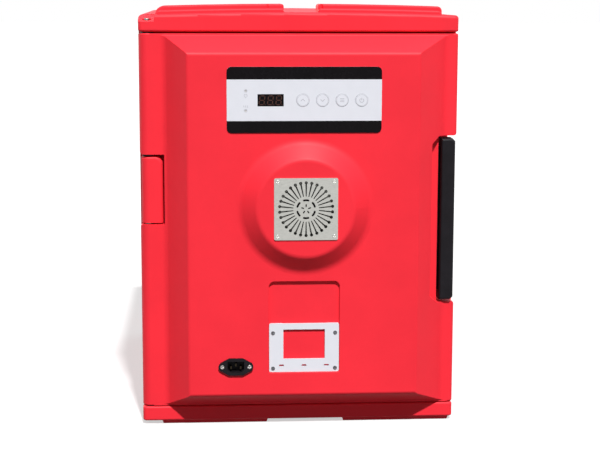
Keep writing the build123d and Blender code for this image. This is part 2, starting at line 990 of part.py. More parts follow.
def panel_form(inset):
    """The bevelled panel on the rim, each face moved in by the inset."""
    with BuildSketch(front_plane(inset)) as foot:
        with Locations(
            (
                (panel_right + bevel_right - panel_left - bevel_left) / 2,
                (panel_top + bevel_top + panel_bottom - bevel_bottom) / 2,
            )
        ):
            Rectangle(
                panel_right + bevel_right + panel_left + bevel_left - 2 * inset,
                panel_top + bevel_top - panel_bottom + bevel_bottom - 2 * inset,
            )
    with BuildSketch(front_plane(panel_front + inset)) as face:
        with Locations(
            ((panel_right - panel_left) / 2, (panel_top + panel_bottom) / 2)
        ):
            Rectangle(
                panel_right + panel_left - 2 * inset,
                panel_top - panel_bottom - 2 * inset,
            )
    loft(sections=[foot.sketch, face.sketch])


def boss_form(inset):
    """The round boss as a cone frustum standing on the panel."""
    slope = math.degrees(math.atan2(boss_base_radius - boss_top_radius, boss_rise))
    with BuildSketch(front_plane(panel_front + inset)) as outline:
        with Locations((boss_x, boss_z)):
            Circle(boss_base_radius - inset)
    extrude(outline.sketch, amount=boss_rise, taper=slope)


# Door foam: the space inside the door's skin, less the channels of what it surrounds.
with BuildPart() as door_core:
    front_plate(
        -half_width + skin,
        half_width - skin,
        door_bottom + skin,
        door_top - skin,
        skin,
        rim_thickness,
    )
    panel_form(skin)
    boss_form(skin)
    span_box(-half_width, strip_x, -overrun, rim_thickness, 0, roof, mode=Mode.SUBTRACT)
    span_box(
        -half_width,
        notch_wall_x + skin,
        panel_front,
        rim_thickness,
        notch_bottom - skin,
        notch_top + skin,
        mode=Mode.SUBTRACT,
    )
    span_box(
        latch_edge_x - latch_wall,
        half_width,
        panel_front,
        rim_thickness,
        latch_bottom - skin,
        latch_top + skin,
        mode=Mode.SUBTRACT,
    )
    front_plate(
        card_middle - card_width / 2 - skin,
        card_middle + card_width / 2 + skin,
        card_recess_bottom - skin,
        card_recess_bottom + card_recess_height + skin,
        panel_front,
        card_floor + skin,
        mode=Mode.SUBTRACT,
    )

plug_left = -cavity_width / 2 + plug_margin
plug_right = cavity_width / 2 - plug_margin
plug_bottom = cavity_floor + plug_margin
plug_top = cavity_top - plug_margin


def back_plane(depth):
    """Upright plane facing +Y at this depth; its local X runs along -X."""
    return Plane(origin=(0, at_depth(depth), 0), x_dir=(-1, 0, 0), z_dir=(0, 1, 0))


def plug_form(inset, depth0, depth1, mode=Mode.ADD):
    """The tapered plug that enters the mouth of the cavity."""
    slope = math.degrees(math.atan2(plug_taper, plug_rise))
    with BuildSketch(back_plane(depth0)) as outline:
        with Locations((-(plug_left + plug_right) / 2, (plug_bottom + plug_top) / 2)):
            RectangleRounded(
                plug_right - plug_left - 2 * inset,
                plug_top - plug_bottom - 2 * inset,
                plug_corner,
            )
    extrude(outline.sketch, amount=depth1 - depth0, taper=slope, mode=mode)


control_top = fascia_middle_z + housing_height / 2
control_bottom = fascia_middle_z - housing_height / 2
conduit_runs = (
    (inlet_x, inlet_z + inlet_body_height / 2 + inlet_space, control_bottom),
    (boss_x, boss_z + duct_radius, control_bottom),
)
heater_gap = (360 - heater_span) / 2
heater_depth = chamber_back + chamber_depth / 2
heater_ends = [
    (
        boss_x + heater_radius * math.cos(math.radians(-90 + side * heater_gap)),
        boss_z + heater_radius * math.sin(math.radians(-90 + side * heater_gap)),
    )
    for side in (-1, 1)
]
probe_x = boss_x + probe_offset_x
probe_z = boss_z + probe_offset_z
cutout_x = boss_x + cutout_offset


def door_cavities():
    """Spaces that the door's foam leaves for what is built into the door."""
    depth_rod(boss_x, boss_z, chamber_radius, chamber_back, plug_back, mode=Mode.SUBTRACT)
    depth_rod(boss_x, boss_z, duct_radius, boss_front, chamber_back, mode=Mode.SUBTRACT)
    front_plate(
        fascia_x - housing_width / 2,
        fascia_x + housing_width / 2,
        control_bottom,
        control_top,
        panel_front,
        housing_back,
        mode=Mode.SUBTRACT,
    )
    front_plate(
        inlet_x - inlet_flange_length / 2,
        inlet_x + inlet_flange_length / 2,
        inlet_z - inlet_body_height / 2 - inlet_space,
        inlet_z + inlet_body_height / 2 + inlet_space,
        panel_front + skin,
        inlet_back + contact_tail + overrun,
        mode=Mode.SUBTRACT,
    )
    for x, z0, z1 in conduit_runs:
        post(x, conduit_depth, conduit_radius, z0, z1, mode=Mode.SUBTRACT)
    depth_rod(probe_x, probe_z, probe_radius, foam_back - probe_reach, plug_back, mode=Mode.SUBTRACT)
    depth_rod(
        cutout_x,
        boss_z,
        cutout_radius,
        chamber_back - cutout_height,
        chamber_back,
        mode=Mode.SUBTRACT,
    )
    for x, z in heater_ends:
        depth_rod(x, z, heater_tube, chamber_back - heater_leg_reach, chamber_back, mode=Mode.SUBTRACT)


with BuildPart() as door_foam:
    add(door_core.part)
    span_box(
        -half_width,
        half_width,
        foam_back,
        rim_thickness,
        door_bottom,
        door_top,
        mode=Mode.SUBTRACT,
    )
    plug_form(skin, foam_back, plug_back - skin)
    door_cavities()
door_foam.part.label = "door_foam"



def ramp_profile(plane, ends, foot_round, along_depth):
    """A section through the panel: foot, slope, face, slope and foot, with rounded turns.

    The ends are the land's end, foot and top of the low side, then of the high side.
    """
    land0, foot0, top0, top1, foot1, land1 = ends
    rim, face, root = at_depth(0), at_depth(panel_front), at_depth(panel_root)
    corners = [
        (land0, root),
        (land0, rim),
        (foot0, rim),
        (top0, face),
        (top1, face),
        (foot1, rim),
        (land1, rim),
        (land1, root),
    ]
    if along_depth:
        corners = [(b, a) for a, b in corners]
    with BuildSketch(plane) as outline:
        with BuildLine():
            Polyline(*corners, close=True)
        make_face()
        for number, radius in ((2, foot_round), (3, panel_round), (4, panel_round), (5, foot_round)):
            spot = Vector(*corners[number])
            fillet(outline.vertices().sort_by_distance(spot)[0], radius)
    return outline.sketch


# The panel's outside is where two sections cross, one along the width and one along the height.
with BuildPart() as panel_outside:
    width_section = ramp_profile(
        Plane.XY.offset(door_bottom),
        (
            -half_width + rim_thickness / 2 + panel_side_land / 2,
            -panel_left - bevel_left,
            -panel_left,
            panel_right,
            panel_right + bevel_right,
            half_width - panel_side_land,
        ),
        panel_side_foot_round,
        False,
    )
    extrude(width_section, amount=door_height)
    with BuildPart(mode=Mode.INTERSECT):
        height_section = ramp_profile(
            Plane.YZ.offset(-half_width),
            (
                door_bottom,
                panel_bottom - bevel_bottom,
                panel_bottom,
                panel_top,
                panel_top + bevel_top,
                door_top,
            ),
            panel_end_foot_round,
            True,
        )
        extrude(height_section, amount=cabinet_width)

# Door skin: rim, bevelled panel, boss, recesses, hinge barrel and latch groove
with BuildPart() as door_shell:
    front_plate(-half_width, half_width, door_bottom, door_top, 0, rim_thickness)
    fillet(
        door_shell.edges().filter_by(Axis.Z).sort_by(Axis.X)[:2],
        hinge_inset - tolerance,
    )
    fillet(
        door_shell.edges().filter_by(Axis.Z).sort_by(Axis.X)[-2:].sort_by(Axis.Y)[0],
        rim_corner,
    )
    rim_edges = (
        door_shell.edges()
        .filter_by(Axis.X)
        .filter_by(lambda e: abs(e.center().Y - at_depth(0)) < tolerance)
    )
    fillet(rim_edges, rim_edge_round)
    add(panel_outside.part)
    boss_form(0)
    boss_face = door_shell.faces().sort_by(Axis.Y)[0]
    fillet(boss_face.edges(), boss_round)
    boss_foot = (
        door_shell.edges()
        .filter_by(GeomType.CIRCLE)
        .filter_by(lambda e: abs(e.center().Y - at_depth(panel_front)) < tolerance)
        .sort_by(SortBy.RADIUS)[-1]
    )
    fillet(boss_foot, boss_foot_round)
    add(door_core.part, mode=Mode.SUBTRACT)
    # Notch for the cabinet's knuckle
    span_box(
        -half_width - overrun,
        notch_wall_x,
        -overrun,
        rim_thickness + overrun,
        notch_bottom,
        notch_top,
        mode=Mode.SUBTRACT,
    )
    for z, side_z in ((notch_top, 1), (notch_bottom, -1)):
        flared_corner(-1, z, side_z, knuckle_flare)
    for z, side_z in ((latch_top, 1), (latch_bottom, -1)):
        flared_corner(1, z, side_z, latch_flare)
    # Cut-out for the latch bar, the finger space beside it and the tooth's groove
    span_box(
        latch_edge_x,
        half_width + overrun,
        panel_front,
        rim_thickness + overrun,
        latch_bottom,
        latch_top,
        mode=Mode.SUBTRACT,
    )
    with BuildSketch(front_plane(0)) as finger_space:
        with BuildLine():
            Polyline(
                (latch_edge_x + overrun, latch_bottom),
                (latch_edge_x, latch_bottom),
                (latch_floor_x, latch_bottom + latch_floor_slant),
                (latch_floor_x, latch_top - latch_floor_slant),
                (latch_edge_x, latch_top),
                (latch_edge_x + overrun, latch_top),
                close=True,
            )
        make_face()
    extrude(finger_space.sketch, amount=panel_rise + overrun, mode=Mode.SUBTRACT)
    span_box(
        tooth_x - tooth_end_play,
        latch_edge_x + overrun,
        groove_front,
        groove_back,
        latch_middle - tooth_height / 2 - groove_end_play,
        latch_middle + tooth_height / 2 + groove_end_play,
        mode=Mode.SUBTRACT,
    )
    front_plate(
        fascia_x - fascia_width / 2 - housing_play,
        fascia_x + fascia_width / 2 + housing_play,
        fascia_middle_z - fascia_height / 2 - housing_play,
        fascia_middle_z + fascia_height / 2 + housing_play,
        panel_front,
        fascia_seat_depth,
        corner=fascia_corner,
        mode=Mode.SUBTRACT,
    )
    front_plate(
        fascia_x - housing_width / 2,
        fascia_x + housing_width / 2,
        control_bottom,
        control_top,
        panel_front,
        panel_front + skin,
        mode=Mode.SUBTRACT,
    )
    front_plate(
        card_middle - card_width / 2,
        card_middle + card_width / 2,
        card_recess_bottom,
        card_recess_bottom + card_recess_height,
        panel_front,
        card_floor,
        corner=card_recess_corner,
        mode=Mode.SUBTRACT,
    )
    front_plate(
        card_middle - card_width / 2,
        card_middle + card_width / 2,
        card_recess_bottom,
        card_recess_bottom + card_frame_height,
        panel_front,
        card_floor,
        corner=card_frame_corner,
        mode=Mode.SUBTRACT,
    )
    recess_edges = door_shell.edges().filter_by(
        lambda e: abs(e.center().Y - at_depth(panel_front)) < tolerance
        and abs(e.center().X - card_middle) < card_width / 2 + tolerance
        and card_recess_bottom - tolerance < e.center().Z
        and e.center().Z < card_recess_bottom + card_recess_height + tolerance
    )
    fillet(recess_edges, card_recess_round)
    front_plate(
        inlet_x - inlet_body_width / 2 - housing_play,
        inlet_x + inlet_body_width / 2 + housing_play,
        inlet_z - inlet_body_height / 2 - housing_play,
        inlet_z + inlet_body_height / 2 + housing_play,
        panel_front,
        panel_front + skin,
        mode=Mode.SUBTRACT,
    )
    depth_rod(
        boss_x,
        boss_z,
        duct_radius + fixed_clearance,
        boss_front,
        boss_front + skin,
        mode=Mode.SUBTRACT,
    )
    # Holes for the screws of the grille, the card frame and the inlet
    for spots, radius, seat in (
        (grille_screw_spots, grille_screw_radius, boss_front),
        (card_screw_spots, card_screw_radius, card_floor),
        ([(x, inlet_z) for x in inlet_screw_xs], inlet_screw_radius, panel_front),
    ):
        for x, z in spots:
            depth_rod(x, z, radius + fixed_clearance, seat, seat + screw_bite, mode=Mode.SUBTRACT)
    # Bore for the hinge pin, wider where the bushes sit
    post(pin_x, hinge_inset, pin_bore_radius, door_bottom, door_top, mode=Mode.SUBTRACT)
    for z in bush_bottoms:
        post(
            pin_x,
            hinge_inset,
            bush_radius + fixed_clearance,
            z,
            z + bush_length,
            mode=Mode.SUBTRACT,
        )
door_shell.part.label = "door_shell"

# Door liner: flat inner skin with the tapered plug and the gasket groove
gasket_x0 = plug_left - gasket_inset - gasket_width
gasket_x1 = plug_right + gasket_inset + gasket_width
gasket_z0 = plug_bottom - gasket_inset - gasket_width
gasket_z1 = plug_top + gasket_inset + gasket_width


def gasket_ring(depth0, depth1, play, mode=Mode.ADD):
    """The gasket's ring between two depths, narrowed by the play on each side."""
    with BuildSketch(front_plane(depth1)) as outline:
        with Locations(((gasket_x0 + gasket_x1) / 2, (gasket_z0 + gasket_z1) / 2)):
            RectangleRounded(
                gasket_x1 - gasket_x0 - 2 * play,
                gasket_z1 - gasket_z0 - 2 * play,
                gasket_corner,
            )
            RectangleRounded(
                gasket_x1 - gasket_x0 - 2 * gasket_width + 2 * play,
                gasket_z1 - gasket_z0 - 2 * gasket_width + 2 * play,
                gasket_corner - gasket_width,
                mode=Mode.SUBTRACT,
            )
    extrude(outline.sketch, amount=depth1 - depth0, mode=mode)


def cover_screw_holes(depth0, depth1, play, mode=Mode.ADD):
    """The shanks of the cover's screws, or holes for them, between two depths."""
    with BuildSketch(front_plane(depth1)) as outline:
        with Locations((boss_x, boss_z)):
            with PolarLocations(cover_screw_ring_radius, cover_screw_count, start_angle=90):
                Circle(cover_screw_radius + play)
    extrude(outline.sketch, amount=depth1 - depth0, mode=mode)


with BuildPart() as door_liner:
    add(door_core.part)
    span_box(
        -half_width,
        half_width,
        boss_front,
        foam_back,
        door_bottom,
        door_top,
        mode=Mode.SUBTRACT,
    )
    plug_form(0, rim_thickness, plug_back)
    plug_form(skin, foam_back, plug_back - skin, mode=Mode.SUBTRACT)
    gasket_ring(rim_thickness - gasket_groove, rim_thickness, 0, mode=Mode.SUBTRACT)
    depth_rod(boss_x, boss_z, chamber_radius, foam_back, plug_back, mode=Mode.SUBTRACT)
    depth_rod(probe_x, probe_z, probe_radius, foam_back, plug_back, mode=Mode.SUBTRACT)
    cover_screw_holes(plug_back - screw_bite, plug_back, fixed_clearance, mode=Mode.SUBTRACT)
door_liner.part.label = "door_liner"

with BuildPart() as door_gasket:
    gasket_ring(
        rim_thickness - gasket_groove,
        cabinet_front - gasket_air,
        gasket_air,
    )
door_gasket.part.label = "door_gasket"

# Control panel: fascia, dark bands, window, display, housing, board, lamps, switches
button_xs = [first_button_x + button_spacing * i for i in range(button_count)]
lamp_zs = (fascia_middle_z + lamp_upper_shift, fascia_middle_z + lamp_lower_shift)


def fascia_plate(depth0, depth1, mode=Mode.ADD):
    """The fascia's rounded outline between two depths."""
    front_plate(
        fascia_x - fascia_width / 2,
        fascia_x + fascia_width / 2,
        fascia_middle_z - fascia_height / 2,
        fascia_middle_z + fascia_height / 2,
        depth0,
        depth1,
        corner=fascia_corner,
        mode=mode,
    )


band_back = fascia_front + band_thickness
band_edges = (
    (fascia_middle_z + fascia_height / 2 - band_top, fascia_middle_z + fascia_height / 2),
    (fascia_middle_z - fascia_height / 2, fascia_middle_z - fascia_height / 2 + band_bottom),
)
with BuildPart() as fascia_bands:
    fascia_plate(fascia_front, band_back)
    span_box(
        fascia_x - fascia_width,
        fascia_x + fascia_width,
        fascia_front,
        band_back,
        band_edges[1][1],
        band_edges[0][0],
        mode=Mode.SUBTRACT,
    )
fascia_bands.part.label = "fascia_bands"

with BuildPart() as control_fascia:
    fascia_plate(fascia_front, fascia_seat_depth)
    add(fascia_bands.part, mode=Mode.SUBTRACT)
    front_plate(
        display_x - display_width / 2,
        display_x + display_width / 2,
        display_z - display_height / 2,
        display_z + display_height / 2,
        fascia_front,
        fascia_seat_depth,
        mode=Mode.SUBTRACT,
    )
    for x in button_xs:
        depth_rod(
            x,
            control_z,
            button_radius + button_play,
            fascia_front,
            fascia_seat_depth,
            mode=Mode.SUBTRACT,
        )
    for z in lamp_zs:
        depth_rod(
            lamp_x,
            z,
            lamp_radius + lamp_clearance,
            fascia_front,
            fascia_seat_depth,
            mode=Mode.SUBTRACT,
        )
control_fascia.part.label = "control_fascia"

with BuildPart() as display_window:
    front_plate(
        display_x - display_width / 2,
        display_x + display_width / 2,
        display_z - display_height / 2,
        display_z + display_height / 2,
        fascia_front + window_sink,
        fascia_seat_depth,
    )
display_window.part.label = "display_window"

with BuildPart() as display_module:
    front_plate(
        display_x - display_width / 2 - display_bezel,
        display_x + display_width / 2 + display_bezel,
        display_z - display_height / 2 - display_bezel,
        display_z + display_height / 2 + display_bezel,
        fascia_seat_depth,
        board_front,
    )
display_module.part.label = "display_module"

with BuildPart() as control_housing:
    front_plate(
        fascia_x - housing_width / 2 + housing_play,
        fascia_x + housing_width / 2 - housing_play,
        control_bottom + housing_play,
        control_top - housing_play,
        fascia_seat_depth,
        housing_back,
    )
    front_plate(
        fascia_x - housing_width / 2 + housing_wall,
        fascia_x + housing_width / 2 - housing_wall,
        control_bottom + housing_wall,
        control_top - housing_wall,
        fascia_seat_depth,
        housing_back - housing_wall,
        mode=Mode.SUBTRACT,
    )
    for side_x in (-1, 1):
        for side_z in (-1, 1):
            depth_rod(
                fascia_x + side_x * (housing_width / 2 - housing_wall - 2 * board_post_radius),
                fascia_middle_z + side_z * (housing_height / 2 - housing_wall - 2 * board_post_radius),
                board_post_radius,
                board_back,
                housing_back - housing_wall,
            )
control_housing.part.label = "control_housing"

with BuildPart() as control_board:
    front_plate(
        fascia_x - housing_width / 2 + board_margin,
        fascia_x + housing_width / 2 - board_margin,
        control_bottom + board_margin,
        control_top - board_margin,
        board_front,
        board_back,
    )
control_board.part.label = "control_board"

with BuildPart() as button_switches:
    for x in button_xs:
        front_plate(
            x - switch_size / 2,
            x + switch_size / 2,
            control_z - switch_size / 2,
            control_z + switch_size / 2,
            switch_front,
            board_front,
        )
button_switches.part.label = "button_switches"

with BuildPart() as indicator_lamps:
    for z in lamp_zs:
        depth_rod(lamp_x, z, lamp_radius, fascia_front + lamp_sink, board_front)
indicator_lamps.part.label = "indicator_lamps"

# Push buttons: cap, retaining flange behind the fascia, and stem over its switch
button_names = ("button_up", "button_down", "button_set", "button_power")
buttons = []
for x, button_name in zip(button_xs, button_names):
    with BuildPart() as button:
        depth_rod(
            x,
            control_z,
            button_radius,
            fascia_front - button_proud,
            fascia_seat_depth + button_seat_gap,
        )
        cap_edge = button.edges().filter_by(GeomType.CIRCLE).sort_by(Axis.Y)[0]
        fillet(cap_edge, button_round)
        depth_rod(
            x,
            control_z,
            button_flange_radius,
            fascia_seat_depth + button_seat_gap,
            fascia_seat_depth + button_seat_gap + button_flange,
        )
        depth_rod(
            x,
            control_z,
            button_stem_radius,
            fascia_seat_depth + button_seat_gap + button_flange,
            switch_front - button_travel - button_seat_gap,
        )
    button.part.label = button_name
    buttons.append(button.part)

# Card frame in the lower part of its recess
with BuildPart() as card_frame:
    front_plate(
        frame_x0,
        frame_x1,
        frame_z0,
        frame_z1,
        card_front,
        card_floor,
        corner=card_frame_corner,
    )
    front_plate(
        card_middle - card_window_width / 2,
        card_middle + card_window_width / 2,
        window_z0,
        window_z0 + card_window_height,
        card_front,
        card_floor,
        mode=Mode.SUBTRACT,
    )
    front_plate(
        card_middle - card_window_width / 2 - card_lip,
        card_middle + card_window_width / 2 + card_lip,
        window_z0 - card_lip,
        frame_z1,
        card_floor - card_lip,
        card_floor,
        mode=Mode.SUBTRACT,
    )
    for step in (-1, 0, 1):
        with BuildSketch(front_plane(card_floor)):
            with Locations((card_middle + step * card_slot_spacing, frame_z0 + card_slot_rise)):
                SlotOverall(card_slot_length, card_slot_width)
        extrude(amount=card_frame_thickness, mode=Mode.SUBTRACT)
    for x, z in card_screw_spots:
        depth_rod(
            x,
            z,
            card_screw_radius + fixed_clearance,
            card_front,
            card_floor,
            mode=Mode.SUBTRACT,
        )
card_frame.part.label = "card_frame"

with BuildPart() as card_frame_screws:
    for x, z in card_screw_spots:
        depth_rod(x, z, card_screw_radius, card_front, card_floor + screw_bite)
        rivet_head(x, z, card_screw_head, card_front, card_screw_head_height)
card_frame_screws.part.label = "card_frame_screws"

# Mains inlet: flange with rounded tips, body and socket with two cut corners, three contacts
flange_front = panel_front - inlet_flange_thickness
socket_back = flange_front + inlet_socket_depth


def cut_corner_plate(width, height, cut, depth0, depth1, mode=Mode.ADD):
    """The inlet's rectangle with its two lower corners cut off."""
    with BuildSketch(front_plane(depth1)) as outline:
        with BuildLine():
            Polyline(
                (inlet_x - width / 2, inlet_z + height / 2),
                (inlet_x + width / 2, inlet_z + height / 2),
                (inlet_x + width / 2, inlet_z - height / 2 + cut),
                (inlet_x + width / 2 - cut, inlet_z - height / 2),
                (inlet_x - width / 2 + cut, inlet_z - height / 2),
                (inlet_x - width / 2, inlet_z - height / 2 + cut),
                close=True,
            )
        make_face()
    extrude(outline.sketch, amount=depth1 - depth0, mode=mode)


flat = inlet_flange_flat / 2
tip = inlet_flange_length / 2
tip_rise = inlet_tip_height / 2
rise = inlet_flange_height / 2
contact_spots = (
    (inlet_x - contact_spacing / 2, inlet_z - earth_shift / 2),
    (inlet_x + contact_spacing / 2, inlet_z - earth_shift / 2),
    (inlet_x, inlet_z + earth_shift / 2),
)
with BuildPart() as power_inlet:
    with BuildSketch(front_plane(panel_front)) as flange:
        with BuildLine():
            Polyline(
                (inlet_x - tip, inlet_z + tip_rise),
                (inlet_x - flat, inlet_z + rise),
                (inlet_x + flat, inlet_z + rise),
                (inlet_x + tip, inlet_z + tip_rise),
                (inlet_x + tip, inlet_z - tip_rise),
                (inlet_x + flat, inlet_z - rise),
                (inlet_x - flat, inlet_z - rise),
                (inlet_x - tip, inlet_z - tip_rise),
                close=True,
            )
        make_face()
        corners = flange.vertices()
        fillet(corners.filter_by(lambda v: abs(v.X - inlet_x) > tip - tolerance), inlet_tip_radius)
        fillet(corners.filter_by(lambda v: abs(v.X - inlet_x) < tip - tolerance), inlet_shoulder_radius)
    extrude(amount=inlet_flange_thickness)
    cut_corner_plate(
        inlet_body_width,
        inlet_body_height,
        inlet_body_chamfer,
        panel_front,
        inlet_back,
    )
    cut_corner_plate(
        inlet_socket_width,
        inlet_socket_height,
        inlet_socket_chamfer,
        flange_front,
        socket_back,
        mode=Mode.SUBTRACT,
    )
    for x, z in contact_spots:
        front_plate(
            x - contact_width / 2,
            x + contact_width / 2,
            z - contact_height / 2,
            z + contact_height / 2,
            socket_back,
            inlet_back,
            mode=Mode.SUBTRACT,
        )
    for x in inlet_screw_xs:
        depth_rod(
            x,
            inlet_z,
            inlet_screw_radius + fixed_clearance,
            flange_front,
            panel_front,
            mode=Mode.SUBTRACT,
        )
power_inlet.part.label = "power_inlet"

with BuildPart() as inlet_contacts:
    for x, z in contact_spots:
        front_plate(
            x - contact_width / 2,
            x + contact_width / 2,
            z - contact_height / 2,
            z + contact_height / 2,
            flange_front + contact_setback,
            inlet_back + contact_tail,
        )
inlet_contacts.part.label = "inlet_contacts"

with BuildPart() as inlet_screws:
    for x in inlet_screw_xs:
        depth_rod(x, inlet_z, inlet_screw_radius, flange_front, panel_front + screw_bite)
        rivet_head(x, inlet_z, inlet_screw_head, flange_front, inlet_screw_head_height)
inlet_screws.part.label = "inlet_screws"

# Grille plate over the boss: keyhole slots round a ring of arcs and a star
with BuildSketch() as keyhole:
    with BuildLine():
        Polyline(
            (slot_inner_radius, -slot_inner_width / 2),
            (slot_outer_radius, -slot_outer_width / 2),
            (slot_outer_radius, slot_outer_width / 2),
            (slot_inner_radius, slot_inner_width / 2),
            close=True,
        )
    make_face()
    with Locations((slot_outer_radius, 0)):
        Circle(slot_eye_radius)
with BuildLine() as arc_slot:
    CenterArc((0, 0), arc_slot_radius, -arc_slot_angle / 2, arc_slot_angle)
with BuildPart() as grille_plate:
    with BuildSketch(front_plane(boss_front)):
        with Locations((boss_x, boss_z)):
            RectangleRounded(grille_width, grille_height, grille_corner)
            with PolarLocations(0, slot_count, start_angle=90):
                add(keyhole.sketch, mode=Mode.SUBTRACT)
            with PolarLocations(0, arc_slot_count, start_angle=90):
                SlotArc(arc_slot.edges()[0], arc_slot_width, mode=Mode.SUBTRACT)
            with PolarLocations(star_slot_radius, star_slot_count, start_angle=90):
                SlotOverall(star_slot_length, star_slot_width, mode=Mode.SUBTRACT)
    extrude(amount=grille_thickness)
    for x, z in grille_screw_spots:
        depth_rod(
            x,
            z,
            grille_screw_radius + fixed_clearance,
            grille_face,
            boss_front,
            mode=Mode.SUBTRACT,
        )
grille_plate.part.label = "grille_plate"

with BuildPart() as grille_screws:
    for x, z in grille_screw_spots:
        depth_rod(x, z, grille_screw_radius, grille_face, boss_front + screw_bite)
        rivet_head(x, z, grille_screw_head, grille_face, grille_screw_head_height)
grille_screws.part.label = "grille_screws"

# Air duct through the boss, from the grille to the fan chamber
with BuildPart() as duct_sleeve:
    depth_rod(boss_x, boss_z, duct_radius, boss_front, chamber_back)
    depth_rod(
        boss_x,
        boss_z,
        duct_radius - duct_wall,
        boss_front,
        chamber_back,
        mode=Mode.SUBTRACT,
    )
duct_sleeve.part.label = "duct_sleeve"

# Fan motor on a plate that three spacers hold off the back of the fan chamber
with BuildPart() as fan_motor:
    depth_rod(boss_x, boss_z, motor_radius, motor_front, motor_back)
    fillet(
        fan_motor.edges().filter_by(GeomType.CIRCLE).sort_by(Axis.Y)[0],
        motor_round,
    )
    depth_rod(
        boss_x,
        boss_z,
        shaft_radius + running_clearance,
        motor_back - shaft_seat,
        motor_back,
        mode=Mode.SUBTRACT,
    )
fan_motor.part.label = "fan_motor"

bracket_reach = duct_radius - duct_wall - fixed_clearance
with BuildPart() as motor_bracket:
    with BuildSketch(front_plane(bracket_back)):
        with Locations((boss_x, boss_z)):
            Circle(bracket_reach)
            Circle(shaft_radius + shaft_hole_clearance, mode=Mode.SUBTRACT)
    extrude(amount=bracket_thickness)
motor_bracket.part.label = "motor_bracket"

with BuildPart() as motor_spacers:
    with BuildSketch(front_plane(chamber_back)):
        with Locations((boss_x, boss_z)):
            with PolarLocations(spacer_ring_radius, spacer_count, start_angle=90):
                Circle(spacer_radius)
    extrude(amount=chamber_back - bracket_back)
motor_spacers.part.label = "motor_spacers"

# Fan chamber: a steel pan with a flange, sunk into the door's plug
with BuildPart() as fan_chamber:
    depth_rod(boss_x, boss_z, flange_radius, plug_back, plug_back + flange_thickness)
    depth_rod(boss_x, boss_z, chamber_radius, chamber_back, plug_back)
    depth_rod(
        boss_x,
        boss_z,
        chamber_radius - chamber_wall,
        chamber_back + chamber_wall,
        plug_back + flange_thickness,
        mode=Mode.SUBTRACT,
    )
    depth_rod(
        boss_x,
        boss_z,
        shaft_radius + shaft_hole_clearance,
        chamber_back,
        chamber_back + chamber_wall,
        mode=Mode.SUBTRACT,
    )
    for x, z in heater_ends:
        depth_rod(
            x,
            z,
            heater_tube + fixed_clearance,
            chamber_back,
            chamber_back + chamber_wall,
            mode=Mode.SUBTRACT,
        )
    cover_screw_holes(plug_back, flange_back, fixed_clearance, mode=Mode.SUBTRACT)
fan_chamber.part.label = "fan_chamber"

# Ring heater: an open ring of tube whose two ends turn forwards through the chamber's back
heater_middle = Vector(boss_x, at_depth(heater_depth), boss_z)
heater_start = Vector(heater_ends[0][0], at_depth(heater_depth), heater_ends[0][1])
heater_radial = (heater_start - heater_middle).normalized()
heater_tangent = heater_radial.cross(Vector(0, 1, 0))
with BuildPart() as heater_element:
    with BuildSketch(Plane(origin=heater_middle, x_dir=heater_radial, z_dir=heater_tangent)):
        with Locations((heater_radius, 0)):
            Circle(heater_tube)
    revolve(axis=Axis(heater_middle, (0, 1, 0)), revolution_arc=heater_span)
    for x, z in heater_ends:
        depth_rod(x, z, heater_tube, chamber_back - heater_leg_reach, heater_depth)
        with Locations((x, at_depth(heater_depth), z)):
            Sphere(heater_elbow)
heater_element.part.label = "heater_element"

# Saddles that hold the ring off the chamber's back
with BuildPart() as heater_clips:
    for i in range(heater_clip_count):
        angle = math.radians(90 + i * 360 / heater_clip_count)
        clip_x = boss_x + heater_radius * math.cos(angle)
        clip_z = boss_z + heater_radius * math.sin(angle)
        front_plate(
            clip_x - heater_clip_width / 2,
            clip_x + heater_clip_width / 2,
            clip_z - heater_clip_length / 2,
            clip_z + heater_clip_length / 2,
            chamber_back + chamber_wall,
            heater_depth,
        )
    with Locations(Plane(origin=heater_middle, z_dir=(0, 1, 0))):
        Torus(heater_radius, heater_tube + running_clearance, mode=Mode.SUBTRACT)
heater_clips.part.label = "heater_clips"

# Slotted steel cover over the chamber, on the same flange
cover_wall_radius = chamber_radius - chamber_wall
with BuildPart() as heater_cover:
    depth_rod(boss_x, boss_z, flange_radius, flange_back, cover_seat_back)
    depth_rod(boss_x, boss_z, cover_wall_radius, flange_back, cover_back)
    cover_face = heater_cover.faces().sort_by(Axis.Y)[-1]
    fillet(cover_face.edges(), cover_round)
    depth_rod(
        boss_x,
        boss_z,
        cover_wall_radius - cover_thickness,
        flange_back,
        cover_back - cover_thickness,
        mode=Mode.SUBTRACT,
    )
    with BuildSketch(front_plane(cover_back)):
        with Locations((boss_x, boss_z)):
            with PolarLocations(
                (cover_slot_outer + cover_slot_inner) / 2, cover_slot_count, start_angle=90
            ):
                SlotOverall(cover_slot_outer - cover_slot_inner, cover_slot_width)
            with PolarLocations(
                cover_intake_radius - cover_intake_length / 2,
                cover_intake_count,
                start_angle=90,
            ):
                SlotOverall(cover_intake_length, cover_slot_width)
    extrude(amount=cover_rise, mode=Mode.SUBTRACT)
    cover_screw_holes(flange_back, cover_seat_back, fixed_clearance, mode=Mode.SUBTRACT)
heater_cover.part.label = "heater_cover"

with BuildPart() as heater_cover_screws:
    cover_screw_holes(plug_back - screw_bite, cover_seat_back, 0)
    with BuildSketch(back_plane(cover_seat_back)):
        with Locations((-boss_x, boss_z)):
            with PolarLocations(cover_screw_ring_radius, cover_screw_count, start_angle=90):
                Circle(cover_screw_head)
    extrude(amount=cover_screw_head_height, taper=high_head_taper)
heater_cover_screws.part.label = "heater_cover_screws"

